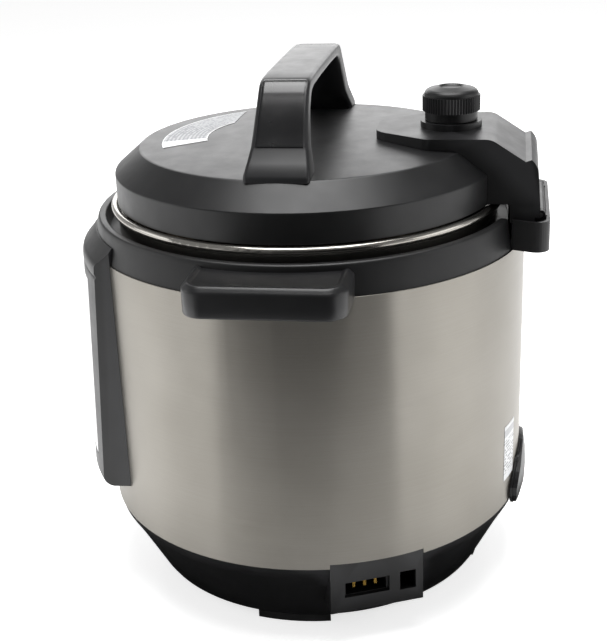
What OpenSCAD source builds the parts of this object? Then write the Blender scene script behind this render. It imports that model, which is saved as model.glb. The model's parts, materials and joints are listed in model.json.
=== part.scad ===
// Electric rice and pressure cooker: a round steel body with a hinged, turn-to-lock lid.
// Millimetres, +Z up, origin on the table under the middle of the object. The control
// panel faces -Y, the lid's hinge is at +Y and the carrying handles are at +X and -X.

/* [Body] */
// Outer radius of the stainless sleeve
sleeve_r = 140.5; // [128:0.5:170]
// Height of the stainless sleeve
sleeve_h = 175; // [145:1:212]
// Thickness of the stainless sleeve
sleeve_t = 0.8; // [0.5:0.1:1.2]
// Height of the base shell below the sleeve
base_h = 50; // [46:1:60]
// Height of the feet below the base shell
foot_h = 6; // [4:0.5:9]
// Half angle that one foot covers
foot_half = 12; // [8:1:16]
// Wall thickness of the plastic shells
wall = 2.5; // [2:0.1:3]

/* [Collar] */
// Height of the collar above the sleeve
collar_h = 19; // [17:0.5:24]
// How far the collar's rim stands inside the sleeve's surface
collar_lip = 6.8; // [5:0.2:9]
// Gap between the collar's rim and the steel bead of the outer pot
bead_gap = 6.5; // [5.5:0.1:8]
// Half width of the hinge pocket at the back of the collar
pocket_half = 50; // [46:0.5:54]
// How far the hinge pocket stands out past the sleeve's surface
pocket_out = 14.5; // [14:0.5:18]

/* [Lid] */
// Step from the steel bead in to the lid's skirt
lid_step = 4.2; // [3.5:0.1:5]
// Height of the lid's shoulder above the collar's rim
lid_rise = 40; // [36:0.5:46]
// Height of the sloped shoulder of the lid
shoulder_h = 14; // [10:0.5:16]
// Width of the sloped shoulder of the lid
shoulder_w = 16; // [12:0.5:20]
// How far the lid's top crowns above its shoulder
crown_h = 3.5; // [1:0.5:5]
// How far the handle turns to lock, in degrees
lock_turn = 18; // [18:1:18]

/* [Valve hood] */
// Half width of the valve hood
hood_half = 39; // [36:0.5:41]
// Height of the hood's top above the collar's rim
hood_rise = 48; // [47:0.5:52]
// Distance of the steam knob's axis behind the middle
knob_y = 93; // [90:0.5:95]
// Radius of the steam knob
knob_r = 18; // [15:0.5:20]
// Sideways place of the float valve
float_x = -24; // [-25:0.5:-23]
// Place of the float valve behind the middle
float_y = 82; // [80:0.5:84]
// Travel of the float valve
float_rise = 3.8; // [2:0.1:3.8]

/* [Lid handle] */
// Height of the bridge handle's top above the collar's rim
grip_rise = 91; // [84:0.5:100]
// How far the handle's feet reach past the lid's shoulder edge
foot_over = 0.5; // [0:0.1:1]
// Half width of the handle at its feet
grip_foot_half = 19.5; // [17:0.5:21]
// Half width of the handle at its top
grip_top_half = 15; // [13:0.5:16]
// Thickness of the handle's bridge
grip_t = 8.5; // [7:0.5:11]

/* [Side handles] */
// Half width of a side handle
side_half = 46.5; // [42:0.5:50]
// How far a side handle stands out past the sleeve's surface
side_out = 26.5; // [24:0.5:32]
// Height of a side handle
side_h = 18; // [16:0.5:18]
// How far its top lies below the collar's rim
side_drop = 3; // [2:0.5:3]

/* [Control panel] */
// Half angle that the control housing covers
panel_half = 39; // [34:1:40]
// How far the control housing stands out at its top
panel_top_out = 7.5; // [7:0.5:9]
// How far the control housing stands out at its foot
panel_foot_out = 13.5; // [11:0.5:15]
// Height of the control housing's foot above the sleeve's lower edge
panel_up = 21; // [16:1:28]
// Radius of a button
button_r = 5.2; // [4:0.1:5.6]
// Travel of a button
button_travel = 1; // [0.5:0.1:1.2]

/* [Pots] */
// Wall thickness of the steel pots
pot_t = 1.2; // [1:0.1:1.5]
// Height of the inner pot's underside above the sleeve's lower edge
pot_up = 32; // [31:1:40]
// Gap between the inner pot and the outer pot
pot_gap = 6; // [4:0.5:7]
// Thickness of the heating plate
heater_t = 8; // [6:0.5:10]

/* [Condensation cup] */
// Half width of the condensation cup's front
cup_half = 39; // [34:0.5:42]
// Height of the condensation cup's front
cup_h = 34; // [32:1:40]
// How far the front's arched top rises above its sides
cup_crown = 21; // [14:0.5:24]
// Half width of the condensation cup's box
box_half = 26; // [20:0.5:28]

/* [Hidden] */
$fn = 180;

clear = 0.3;          // gap between pieces that move past each other
seat = 0.1;           // gap between pieces of one body that are fitted together
fit = 0.05;           // radial play of a pin in its bearing
eps = 0.02;

// Heights
base_z = foot_h;
sleeve_z = base_z + base_h;
collar_z = sleeve_z + sleeve_h;
rim_z = collar_z + collar_h;

// Rings, from the sleeve inwards
collar_foot_r = sleeve_r - 1;
rim_r = sleeve_r - collar_lip;
rim_in_r = rim_r - 2.7;
bead_r = rim_r - bead_gap;
bead_t = 2.6;
bead_z = rim_z + 4.4;
lid_r = bead_r - lid_step;
neck_r = bead_r - bead_t - 1.4;        // outer face of the outer pot's neck
neck_in = neck_r - pot_t;
lug_in = neck_in - 5.5;                // inner end of the outer pot's lugs
lug_z = rim_z - 1.5;                   // underside of the outer pot's lugs
lug_h = 2;
lugs = 10;
lug_pitch = 360 / lugs;
lug_arc = 13;
step_z = rim_z - 10;
shell_r = lug_in + 1.7;                // outer face of the outer pot's wall
shell_in = shell_r - pot_t;
pot_r = shell_in - pot_gap;
pot_top = rim_z - 4;
pot_z = sleeve_z + pot_up;
pot_flange = 1;
heater_z = pot_z - heater_t;
shell_z = heater_z - pot_t;

// Lid
lid_top_r = lid_r - shoulder_w;
lid_z = rim_z + lid_rise;              // height of the shoulder's upper edge
skirt_z = bead_z + bead_t + 0.6;       // lower edge of the lid's skirt
plate_z = rim_z + 1;                   // underside of the pressure lid
plate_t = 1.5;
plate_r = lug_in - 5;
lock_r = lug_in - 1.5;                 // outer face of the lock plate's skirt
lock_t = 2;
lock_z = rim_z + 7;                    // underside of the lock plate's web
lock_lug_z = rim_z - 5.5;
lock_lug_h = 3;
post_r = 60;
hub_r = 8;
stud_r = 4;
stud_at = lid_top_r - 23;
stud_lead = lock_turn / 2;
guide_h = 7;                           // height of the float's guide above the plate
float_r = 2.2;
float_z = plate_z - float_rise - 0.2;  // top of the float's seal at rest
grip_z = rim_z + grip_rise;
grip_tip = lid_top_r + foot_over;

// Hinge
pocket_face = sleeve_r + pocket_out;
pocket_wall = 2.3;
pin_r = 1.55;
knuckle_r = 3;
hinge_y = pocket_face - pocket_wall - 0.4 - knuckle_r;
hinge_z = rim_z + 0.6;
knuckle_half = 30.5;
ear_gap = 0.5;
ear_w = 4.8;
hood_z = rim_z + hood_rise;
hood_front = 46.8;
knob_seat = 4;                         // height of the knob's seat on the hood
knob_z = hood_z + knob_seat + 2 * clear;
pocket_floor = rim_z - 16;

side_screw_z = collar_z - 5;

// Control panel
panel_z = sleeve_z + panel_up;
brow_z = collar_z + 11;
face_z = collar_z - 6;
fascia_t = 1.2;
fascia_half = 28;
fascia_z0 = panel_z + 16;
fascia_z1 = face_z - 9;
layout = (fascia_z1 - fascia_z0) / 123; // keeps window and buttons in step with the panel
window_z1 = fascia_z1 - 12 * layout;
window_z0 = window_z1 - 34 * layout;
window_half = 12;
button_col = 9;
button_step = 17 * layout;
button_z = fascia_z0 + 14 * layout;
board_in = 12;

// Power inlet
inlet_az = 24;
inlet_face = sleeve_r - 4;
inlet_half = 30;
inlet_top = sleeve_z + 3;
inlet_foot = base_z + 17;
socket_y = -6.5;
socket_w = 29;
socket_h = 10.5;
socket_z = base_z + 32.3;
vent_slot_y = 20;
vent_slot_w = 10.4;
vent_slot_h = 13;

// Condensation cup
lip_h = 6;                             // height of the base shell's lip inside the sleeve
cup_z = sleeve_z - 6;
cup_arch = (pow(cup_half, 2) + pow(cup_crown, 2)) / (2 * cup_crown);
cup_corner = 7;
rail_t = 1.2;
rail_z = sleeve_z + lip_h + 2 * seat;  // underside of the channel that the cup slides in
box_z0 = rail_z + rail_t + clear;
box_z1 = cup_z + cup_h - 5;
box_wall = 1.4;
box_y = shell_r + 4;                   // back of the cup's box
front_r = sleeve_r + 1.8;              // inner face of the cup's front

// Base
crease_z = sleeve_z - 17;
crease_r = sleeve_r - 8.5;
toe_r = sleeve_r - 26;
ledge_z = base_z + 3;
screw_at = toe_r - 14.5;

SLATE = "#2b2c2e";
STEEL = "#b9b4ab";
GREY = "#4a4b4d";

function arc(cx, cy, r, a0, a1, n = 6) =
  [for (i = [0:n]) let (a = a0 + (a1 - a0) * i / n) [cx + r * cos(a), cy + r * sin(a)]];
function reversed(p) = [for (i = [len(p) - 1:-1:0]) p[i]];
function mirrored(p) = [for (q = p) [-q[0], q[1]]];
// Outer radius of the collar at a height
function collar_at(z) = rim_r + 2.4 + (collar_foot_r - rim_r - 2.4) * (rim_z - z) / collar_h;
// Outer radius of the control housing at a height
function panel_at(z) =
  sleeve_r + panel_foot_out + (panel_top_out - panel_foot_out) * (z - panel_z) / (face_z - panel_z);
// Height of the lid's crowned top at a radius
function crown_at(r) = lid_z + crown_h * (1 - pow(r / lid_top_r, 2));
// Place of a button: column 0 or 1, row 0 to 3
function button_az(i) = 270 + (i % 2 == 0 ? -1 : 1) * button_col;
function button_h(i) = button_z + floor(i / 2) * button_step;

module ring(r0, r1, z0, z1) {
  translate([0, 0, z0]) difference() {
    cylinder(r = r1, h = z1 - z0);
    translate([0, 0, -1]) cylinder(r = r0, h = z1 - z0 + 2);
  }
}
module sector(r0, r1, z0, z1, mid, half) {
  rotate([0, 0, mid - half]) rotate_extrude(angle = 2 * half)
    translate([r0, z0]) square([r1 - r0, z1 - z0]);
}
module disc(r, z0, z1) { translate([0, 0, z0]) cylinder(r = r, h = z1 - z0); }
module rod_at(x, y, r, z0, z1) { translate([x, y, z0]) cylinder(r = r, h = z1 - z0); }
module slab(x0, x1, y0, y1, z0, z1) {
  translate([x0, y0, z0]) cube([x1 - x0, y1 - y0, z1 - z0]);
}
// A rod that points outwards from the axis
module spoke(az, z, r, d0, d1) {
  rotate([0, 0, az]) translate([d0, 0, z]) rotate([0, 90, 0]) cylinder(r = r, h = d1 - d0);
}
module rounded(w, d, r) {
  hull() for (x = [-1, 1], y = [-1, 1])
    translate([x * (w / 2 - r), y * (d / 2 - r)]) circle(r = r, $fn = 32);
}

// ---- Base ----------------------------------------------------------------------------
module base_profile() {
  polygon([
    [sleeve_r - 0.6, sleeve_z], [sleeve_r - 1.6, sleeve_z - 5], [crease_r, crease_z],
    [crease_r - 0.8, crease_z - 1.6], [toe_r + 2, base_z + 3], [toe_r, base_z],
    [toe_r - 10, base_z], [toe_r - 10, ledge_z], [toe_r - 18, ledge_z],
    [toe_r - 18, ledge_z + wall], [toe_r - wall + 0.8, ledge_z + wall],
    [crease_r - wall - 1.2, crease_z - 1], [sleeve_r - wall - 2.4, sleeve_z - 5],
    [sleeve_r - sleeve_t - wall, sleeve_z + lip_h], [sleeve_r - sleeve_t - seat, sleeve_z + lip_h],
    [sleeve_r - sleeve_t - seat, sleeve_z]]);
}
module base_shell() {
  color(SLATE) difference() {
    union() {
      rotate_extrude() base_profile();
      rotate([0, 0, inlet_az]) intersection() {
        slab(inlet_face - 22, inlet_face, -inlet_half, inlet_half, inlet_foot, inlet_top);
        disc(sleeve_r + 4, inlet_foot, inlet_top);
      }
      for (a = [45:90:315]) rotate([0, 0, a]) rod_at(screw_at, 0, 4.5, ledge_z, ledge_z + 12);
    }
    rotate([0, 0, inlet_az]) {
      // the moulding is open behind its flat face
      slab(inlet_face - 40, inlet_face - wall, -inlet_half + wall, inlet_half - wall,
        inlet_foot + wall, inlet_top - wall);
      slab(inlet_face - wall - 1, inlet_face + 1, socket_y - socket_w / 2,
        socket_y + socket_w / 2, socket_z - socket_h / 2, socket_z + socket_h / 2);
      slab(inlet_face - wall - 1, inlet_face + 1, vent_slot_y - vent_slot_w / 2,
        vent_slot_y + vent_slot_w / 2, socket_z - vent_slot_h / 2, socket_z + vent_slot_h / 2);
      // nothing of the round shell stands in front of the flat face
      slab(inlet_face, sleeve_r + 6, -inlet_half, inlet_half, inlet_foot, inlet_top + 4);
    }
    for (a = [45:90:315]) rotate([0, 0, a]) rod_at(screw_at, 0, 1.6, ledge_z - 1, ledge_z + 10);
  }
}
module bottom_cover() {
  color(STEEL) difference() {
    disc(toe_r - 10.4, ledge_z - 1.2, ledge_z);
    for (a = [45:90:315]) rotate([0, 0, a]) rod_at(screw_at, 0, 2.1, ledge_z - 2, ledge_z + 1);
    for (a = [0:30:330], r = [30, 44]) rotate([0, 0, a]) rod_at(r, 0, 3, ledge_z - 2, ledge_z + 1);
  }
}
module feet() {
  color("#1d1d1f") for (a = [0:90:270])
    sector(toe_r - 9.5, toe_r - 1, 0, base_z, a, foot_half);
}
module base_screws() {
  color(STEEL) for (a = [45:90:315]) rotate([0, 0, a]) difference() {
    union() {
      rod_at(screw_at, 0, 3.4, ledge_z - 2.6, ledge_z - 1.2);
      rod_at(screw_at, 0, 1.6 - fit, ledge_z - 1.2 - eps, ledge_z + 8);
    }
    translate([screw_at, 0, ledge_z - 2.6]) cube([4, 0.9, 1.4], center = true);
    translate([screw_at, 0, ledge_z - 2.6]) cube([0.9, 4, 1.4], center = true);
  }
}

// ---- Sleeve and collar -----------------------------------------------------------------
module side_screw_holes(r) {
  for (a = [0, 180], y = [-30, 30])
    translate([a == 0 ? sleeve_r - 12 : 12 - sleeve_r, y, side_screw_z])
      rotate([0, a == 0 ? 90 : -90, 0]) cylinder(r = r, h = 24);
}
module body_sleeve() {
  color(STEEL) difference() {
    ring(sleeve_r - sleeve_t, sleeve_r, sleeve_z, collar_z);
    rotate([0, 0, inlet_az]) slab(inlet_face - 10, sleeve_r + 2, -inlet_half - seat,
      inlet_half + seat, sleeve_z - 1, inlet_top + seat);
    // window under the control housing
    slab(-60, 60, -sleeve_r - 5, -sleeve_r + 30, fascia_z0, fascia_z1);
    side_screw_holes(2.2);
    // window that the cup's channel stands in
    slab(-box_half - clear - rail_t - seat, box_half + clear + rail_t + seat, sleeve_r - 12,
      sleeve_r + 2, rail_z - seat, box_z1 + clear + seat);
  }
}
module collar_profile() {
  polygon(concat(
    [[collar_foot_r, collar_z], [collar_at(rim_z - 3), rim_z - 3]],
    arc(rim_r + 0.6, rim_z - 1.8, 1.8, 20, 90, 5),
    arc(rim_in_r + 1.2, rim_z - 1.2, 1.2, 90, 180, 4),
    [[rim_in_r - 1.8, step_z], [shell_r + 0.6, step_z], [shell_r + 0.6, step_z - 3],
     [rim_in_r - 1.8, step_z - 3], [rim_in_r + 0.7, rim_z - wall - 2.2],
     [collar_at(rim_z - 6) - wall, rim_z - 6], [collar_foot_r - wall - 1, collar_z],
     [collar_foot_r - wall - 1, collar_z - 6], [sleeve_r - sleeve_t - seat, collar_z - 6],
     [sleeve_r - sleeve_t - seat, collar_z]]));
}
module pocket_plan(w, face, r) {
  hull() {
    for (x = [-1, 1]) translate([x * (w - r), face - r]) circle(r = r, $fn = 32);
    for (x = [-1, 1]) translate([x * (w - 6), face - 22]) circle(r = 1, $fn = 32);
  }
}
module collar() {
  color(SLATE) {
    difference() {
      union() {
        rotate_extrude() collar_profile();
        difference() {
          translate([0, 0, collar_z + eps]) linear_extrude(rim_z - collar_z - eps)
            pocket_plan(pocket_half, pocket_face, 8);
          disc(collar_foot_r - 2, collar_z - 1, rim_z + 1);
        }
      }
      // room for the hood's foot, open to the sky
      translate([0, 0, pocket_floor]) linear_extrude(20)
        pocket_plan(pocket_half - pocket_wall, pocket_face - pocket_wall, 6);
      slab(-hood_half - 2.5, hood_half + 2.5, rim_in_r - 12, pocket_face - pocket_wall - 4,
        rim_z - 9, rim_z + 5);
      side_screw_holes(2.2);
    }
    // hinge ears on the pocket's back wall
    for (s = [-1, 1]) difference() {
      union() {
        slab(s > 0 ? knuckle_half + ear_gap : -knuckle_half - ear_gap - ear_w,
          s > 0 ? knuckle_half + ear_gap + ear_w : -knuckle_half - ear_gap,
          hinge_y - knuckle_r, pocket_face - pocket_wall + 0.4, pocket_floor - 0.4, hinge_z);
        translate([s * (knuckle_half + ear_gap + ear_w / 2), hinge_y, hinge_z])
          rotate([0, 90, 0]) cylinder(r = knuckle_r, h = ear_w, center = true);
      }
      translate([0, hinge_y, hinge_z]) rotate([0, 90, 0])
        cylinder(r = pin_r, h = 4 * hood_half, center = true);
    }
  }
}
module hinge_pin() {
  color(STEEL) translate([0, hinge_y, hinge_z]) rotate([0, 90, 0])
    cylinder(r = pin_r, h = 2 * (knuckle_half + ear_gap + ear_w), center = true);
}

// ---- Side handles -----------------------------------------------------------------------
module body_envelope(gap) {
  rotate_extrude() polygon([
    [0, collar_z - 40], [sleeve_r + gap, collar_z - 40], [sleeve_r + gap, collar_z],
    [collar_foot_r + gap, collar_z], [collar_at(rim_z) + gap, rim_z], [0, rim_z]]);
}
module side_handle() {
  top = rim_z - side_drop;
  reach = sleeve_r + side_out;
  difference() {
    union() {
      translate([reach / 2 + 40, 0, top - side_h]) hull() {
        linear_extrude(side_h - 2.2) rounded(reach - 80, 2 * side_half, 14);
        translate([-0.5, 0, 1.6]) linear_extrude(side_h - 1.6)
          rounded(reach - 84, 2 * side_half - 5, 12);
      }
      // root plate against the sleeve
      slab(reach - 60, sleeve_r + 5, -side_half + 7, side_half - 7, top - side_h - 6,
        top - side_h + 4);
    }
    body_envelope(seat);
    // finger hollow, open below
    translate([reach - 13.4, 0, top - side_h - 8]) linear_extrude(side_h + 3)
      rounded(15.5, 2 * side_half - 13, 6);
    for (y = [-30, 30]) translate([sleeve_r - 8, y, side_screw_z]) rotate([0, 90, 0])
      cylinder(r = 1.9, h = 11);
  }
}
module side_handle_right() { color(GREY) side_handle(); }
module side_handle_left() { color(GREY) mirror([1, 0, 0]) side_handle(); }
module side_handle_screws() {
  color(STEEL) for (s = [0, 1], y = [-30, 30]) mirror([s, 0, 0])
    translate([sleeve_r - 11, y, side_screw_z]) rotate([0, 90, 0]) {
      cylinder(r = 3.4, h = 1.6);
      cylinder(r = 1.9 - fit, h = 13);
    }
}

// ---- Control panel ----------------------------------------------------------------------
// Plan of the housing, drawn in towards its face on both sides
module panel_wedge() {
  polygon([[0, 0], for (q = [[sleeve_r, -panel_half], [sleeve_r + 14, 6 - panel_half],
    [2 * sleeve_r, 8 - panel_half], [2 * sleeve_r, panel_half - 8],
    [sleeve_r + 14, panel_half - 6], [sleeve_r, panel_half]])
    q[0] * [cos(270 + q[1]), sin(270 + q[1])]]);
}
module panel_profile() {
  gap = seat;
  polygon(concat(
    [[sleeve_r + gap, panel_z + 2]],
    arc(panel_at(panel_z) - 5, panel_z + 5, 5, 270, 358, 6),
    [[panel_at(face_z - 4), face_z - 4], [panel_at(face_z) - 0.7, face_z - 2.5],
     [panel_at(face_z) + 0.2, face_z]],
    arc(panel_at(face_z) - 6, face_z + 3, 6, 0, 55, 5),
    [[collar_at(brow_z) + gap + 0.6, brow_z], [collar_at(brow_z) + gap, brow_z],
     [collar_foot_r + gap, collar_z], [sleeve_r + gap, collar_z]]));
}
module control_housing() {
  color(SLATE) difference() {
    intersection() {
      rotate_extrude() panel_profile();
      translate([0, 0, panel_z - 2]) linear_extrude(brow_z - panel_z + 4)
        panel_wedge();
    }
    // recess that takes the fascia
    fascia_body(seat, fascia_t + seat);
    // hollow behind the fascia, open through the sleeve's window
    sector(sleeve_r - 1, panel_at(fascia_z0) - fascia_t - wall + 1.6, fascia_z0 + 6,
      window_z0 - 6, 270, 22);
    sector(sleeve_r - 1, panel_at(window_z0) - fascia_t - wall + 1.6, window_z0,
      window_z1, 270, window_half - 0.6);
    for (i = [0:7]) spoke(button_az(i), button_h(i), button_r + clear, sleeve_r - 2, sleeve_r + 20);
  }
}
module fascia_body(grow, depth) {
  rotate([0, 0, 270 - fascia_half - grow / 3]) rotate_extrude(angle = 2 * (fascia_half + grow / 3))
    polygon([[panel_at(fascia_z0 - grow) - depth, fascia_z0 - grow],
      [panel_at(fascia_z0 - grow) + grow * 20, fascia_z0 - grow],
      [panel_at(fascia_z1 + grow) + grow * 20, fascia_z1 + grow],
      [panel_at(fascia_z1 + grow) - depth, fascia_z1 + grow]]);
}
module control_fascia() {
  color("#121214") difference() {
    fascia_body(0, fascia_t);
    for (i = [0:7]) spoke(button_az(i), button_h(i), button_r + clear, sleeve_r - 2, sleeve_r + 20);
    sector(sleeve_r, sleeve_r + 20, window_z0, window_z1, 270, window_half);
  }
}
module display_window() {
  color("#202428") rotate([0, 0, 270 - window_half + 0.05])
    rotate_extrude(angle = 2 * window_half - 0.1)
      polygon([[panel_at(window_z0) - fascia_t, window_z0 + seat],
        [panel_at(window_z0), window_z0 + seat], [panel_at(window_z1), window_z1 - seat],
        [panel_at(window_z1) - fascia_t, window_z1 - seat]]);
}
module control_board() {
  color("#1f5a37") slab(-40, 40, -sleeve_r + board_in, -sleeve_r + board_in + 1.6,
    fascia_z0 + 4, fascia_z1 - 4);
}
module button(i) {
  face = panel_at(button_h(i));
  spoke(button_az(i), button_h(i), button_r, sleeve_r + 0.8, face + button_travel - seat);
}
module button_1() { color(GREY) button(0); }
module button_2() { color(GREY) button(1); }
module button_3() { color(GREY) button(2); }
module button_4() { color(GREY) button(3); }
module button_5() { color(GREY) button(4); }
module button_6() { color(GREY) button(5); }
module button_7() { color(GREY) button(6); }
module button_8() { color(GREY) button(7); }

// ---- Pots, heater and sensor ----------------------------------------------------------------
module outer_pot() {
  color(STEEL) {
    difference() {
      union() {
        disc(shell_r, shell_z, step_z + pot_t);
        disc(neck_r, step_z, bead_z);
        translate([0, 0, bead_z]) rotate_extrude() translate([bead_r - bead_t, 0]) circle(r = bead_t);
      }
      disc(shell_in, heater_z, step_z + 5);
      disc(neck_in, step_z + pot_t, bead_z + bead_t + 1);
      disc(18, shell_z - 1, heater_z + 1);
    }
    for (i = [0:lugs - 1])
      sector(lug_in, neck_in + 0.4, lug_z, lug_z + lug_h, i * lug_pitch, lug_arc / 2);
  }
}
module heating_plate() {
  color("#9a9a9a") difference() {
    disc(shell_in - 22, heater_z, pot_z);
    disc(16, heater_z - 1, pot_z + 1);
    for (r = [34, 56, 78]) ring(r, r + 3, pot_z - 1, pot_z + 1);
  }
}
module inner_pot() {
  color("#c9c7c2") rotate_extrude() polygon(concat(
    [[0, pot_z]], arc(pot_r - 8, pot_z + 8, 8, 270, 360, 6),
    [[pot_r, pot_top - 1], [pot_r + pot_flange, pot_top - 1], [pot_r + pot_flange, pot_top],
     [pot_r - pot_t, pot_top]],
    arc(pot_r - 8, pot_z + 8, 8 - pot_t, 360, 270, 6), [[0, pot_z + pot_t]]));
}
module sensor_bracket() {
  color(STEEL) difference() {
    union() {
      slab(-30, 30, -9, 9, shell_z - 15, shell_z - 13.5);
      for (s = [-1, 1]) slab(s > 0 ? 28.5 : -30, s > 0 ? 30 : -28.5, -9, 9, shell_z - 14, shell_z);
    }
    disc(4 + fit, shell_z - 20, shell_z - 10);
  }
}
module temperature_sensor() {
  color("#d0d0ce") {
    disc(13, pot_z - clear - 3, pot_z - clear);
    disc(4, shell_z - 22, pot_z - clear - 1);
  }
}
module sensor_spring() {
  color(STEEL) ring(5, 7, shell_z - 13.5, pot_z - clear - 3 - eps);
}
module pressure_switch() {
  color("#e6e1d4") slab(44, 66, -12, 12, shell_z - 14, shell_z);
}
module thermal_fuse() {
  color("#c8b07a") slab(-70, -46, -4, 4, shell_z - 8, shell_z);
}

// ---- Electrics in the base ---------------------------------------------------------------------
module power_inlet() {
  color("#161618") rotate([0, 0, inlet_az]) difference() {
    slab(inlet_face - wall - 22, inlet_face - wall - seat, socket_y - 17.5, socket_y + 17.5,
      socket_z - 8.5, socket_z + 8.5);
    slab(inlet_face - wall - 18, inlet_face, socket_y - 13, socket_y + 13, socket_z - 4.6,
      socket_z + 4.6);
  }
}
module inlet_pins() {
  color("#c8b46a") rotate([0, 0, inlet_az]) for (y = [-7, 0, 7])
    slab(inlet_face - wall - 18, inlet_face - wall - 3, socket_y + y - 0.9, socket_y + y + 0.9,
      socket_z - 2.2, socket_z + 2.2);
}
module power_board() {
  color("#8a6a3a") difference() {
    union() {
      slab(-60, 50, -70, 30, base_z + 18, base_z + 19.6);
      for (x = [-52, 42], y = [-62, 22]) rod_at(x, y, 4, ledge_z, base_z + 18);
    }
    for (x = [-52, 42], y = [-62, 22]) rod_at(x, y, 1.5, ledge_z - 1, base_z + 21);
  }
}
module board_components() {
  top = base_z + 19.6;
  color("#30343a") {
    slab(-44, -20, -56, -30, top, top + 18);
    rod_at(10, -50, 9, top, top + 14);
    slab(22, 38, -30, -6, top, top + 16);
    rod_at(-30, 6, 7, top, top + 15);
    slab(-6, 8, -8, 12, top, top + 12);
  }
}

// ---- Labels and condensation cup -----------------------------------------------------------------
module rating_label() {
  color("#f1f1ee") sector(sleeve_r, sleeve_r + 0.2, sleeve_z + 18, sleeve_z + 57, 72.4, 3.7);
}
// Upright prism of the cup's front, seen from behind
module cup_prism(grow) {
  side = concat(arc(cup_half - cup_corner, cup_z + cup_corner, cup_corner + grow, 270, 360, 4),
    arc(0, cup_z + cup_h - cup_arch, cup_arch + grow, asin(1 - cup_crown / cup_arch), 88, 8));
  translate([0, sleeve_r + 20, 0]) rotate([90, 0, 0]) linear_extrude(60)
    polygon(concat(side, reversed(mirrored(side))));
}
module cup_rail() {
  color(SLATE) difference() {
    union() {
      intersection() {
        ring(sleeve_r + seat, front_r - clear, cup_z - 2, cup_z + cup_h + 2);
        cup_prism(0.6);
      }
      slab(-box_half - clear - rail_t, box_half + clear + rail_t, box_y - 1, sleeve_r - 2,
        rail_z, box_z1 + clear);
      intersection() {
        slab(-box_half - clear - rail_t, box_half + clear + rail_t, sleeve_r - 6, sleeve_r + 2,
          rail_z, box_z1 + clear);
        disc(sleeve_r + 0.6, rail_z, box_z1 + clear);
      }
    }
    // channel, open above and at both ends
    slab(-box_half - clear, box_half + clear, box_y - 2, sleeve_r + 3, rail_z + rail_t,
      box_z1 + 2 * clear);
  }
}
module cup_front() {
  rotate_extrude() polygon([[front_r, cup_z - 1], [front_r + 1, cup_z - 1],
    [front_r + 2.6, cup_z + 6], [front_r + 3, cup_z + 14], [front_r + 2.6, cup_z + 24],
    [front_r + 1, cup_z + cup_h + 1], [front_r, cup_z + cup_h + 1]]);
}
module condensation_cup() {
  color(SLATE) difference() {
    union() {
      intersection() {
        cup_front();
        cup_prism(0);
      }
      intersection() {
        slab(-box_half, box_half, box_y, front_r + 1, box_z0, box_z1);
        disc(front_r + 0.6, box_z0, box_z1);
      }
    }
    // the cup's inside, open above
    slab(-box_half + box_wall, box_half - box_wall, box_y + box_wall, sleeve_r - box_wall,
      box_z0 + box_wall, box_z1 + 1);
    // finger scoop under the front edge
    translate([0, front_r + 5.4, cup_z]) rotate([0, 90, 0]) cylinder(r = 4, h = 34, center = true);
  }
}

// ---- Lid ----------------------------------------------------------------------------------------
module lid_envelope(gap) {
  rotate_extrude() polygon(concat(
    [[0, skirt_z - 2], [lid_r + gap, skirt_z - 2]],
    arc(lid_r - 1.6, lid_z - shoulder_h - 0.8, 1.6 + gap, 0, 41, 3),
    arc(lid_top_r - 1.6, lid_z - 2.2, 2.2 + gap, 41, 84, 4),
    [for (i = [9:-1:0]) let (r = (lid_top_r - 2) * i / 9) [r, crown_at(r) + gap]]));
}
module lid_inside() {
  rotate_extrude() polygon(concat(
    [[0, skirt_z - 3], [lid_r - wall, skirt_z - 3], [lid_r - wall, lid_z - shoulder_h - 1.2],
     [lid_top_r - wall, lid_z - wall - 0.6]],
    [for (i = [6:-1:0]) let (r = (lid_top_r - 6) * i / 6) [r, crown_at(r) - wall]]));
}
// Slot that one stud of the handle travels in
module stud_slot(a) {
  r = stud_r + 0.8;
  rotate([0, 0, a]) {
    rotate([0, 0, -stud_lead]) rotate_extrude(angle = lock_turn)
      translate([stud_at - r, lock_z]) square([2 * r, lid_z - lock_z + 8]);
    for (s = [-1, 1]) rotate([0, 0, s * stud_lead]) rod_at(stud_at, 0, r, lock_z, lid_z + 8);
  }
}
module lid_cover() {
  color(SLATE) difference() {
    union() {
      difference() {
        lid_envelope(0);
        lid_inside();
        disc(lid_r + 5, skirt_z - 5, skirt_z);
      }
      // pillars that carry the pressure lid
      for (a = [45:90:315]) rotate([0, 0, a])
        rod_at(post_r, 0, 5, plate_z + plate_t, crown_at(post_r) - wall + 1);
      // boss that the lock plate turns on
      disc(hub_r, lock_z - 1.5, crown_at(0) - 1);
    }
    for (a = [45:90:315]) rotate([0, 0, a])
      rod_at(post_r, 0, 1.7, plate_z, plate_z + 16);
    disc(1.7, lock_z - 3, lock_z + 14);
    for (a = [0, 180]) stud_slot(a);
    rod_at(0, knob_y, 6, lid_z - 12, lid_z + 9);
    rod_at(float_x, float_y, 5, lid_z - 12, lid_z + 9);
  }
}
module hood_plan(grow) {
  hull() {
    for (s = [-1, 1]) {
      translate([s * (hood_half - 10), hinge_y + 10]) circle(r = 10 + grow, $fn = 32);
      translate([s * (hood_half - 10), hood_front + 36]) circle(r = 10 + grow, $fn = 32);
      translate([s * 9, hood_front + 14]) circle(r = 14 + grow, $fn = 32);
    }
  }
}
module hood_side(t) {
  polygon(concat(
    [[hood_front - 4, hood_z - t]],
    [[hinge_y - 34, hood_z - t]],
    arc(hinge_y - 34, hood_z - 12, 12 - t, 90, 58, 4),
    [[hinge_y - 9.8, hood_z - 13.6 - t * 1.1]],
    arc(hinge_y - 14.4, hood_z - 22, 12.6 - t, 50, 8, 5),
    [[hinge_y - 0.4 - t, rim_z + 7], [hinge_y - 0.4 - t, hinge_z],
     [hinge_y - 0.4 - t, rim_z - 3.5 - 2 * t], [hood_front - 4, rim_z - 3.5 - 2 * t]]));
}
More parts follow.
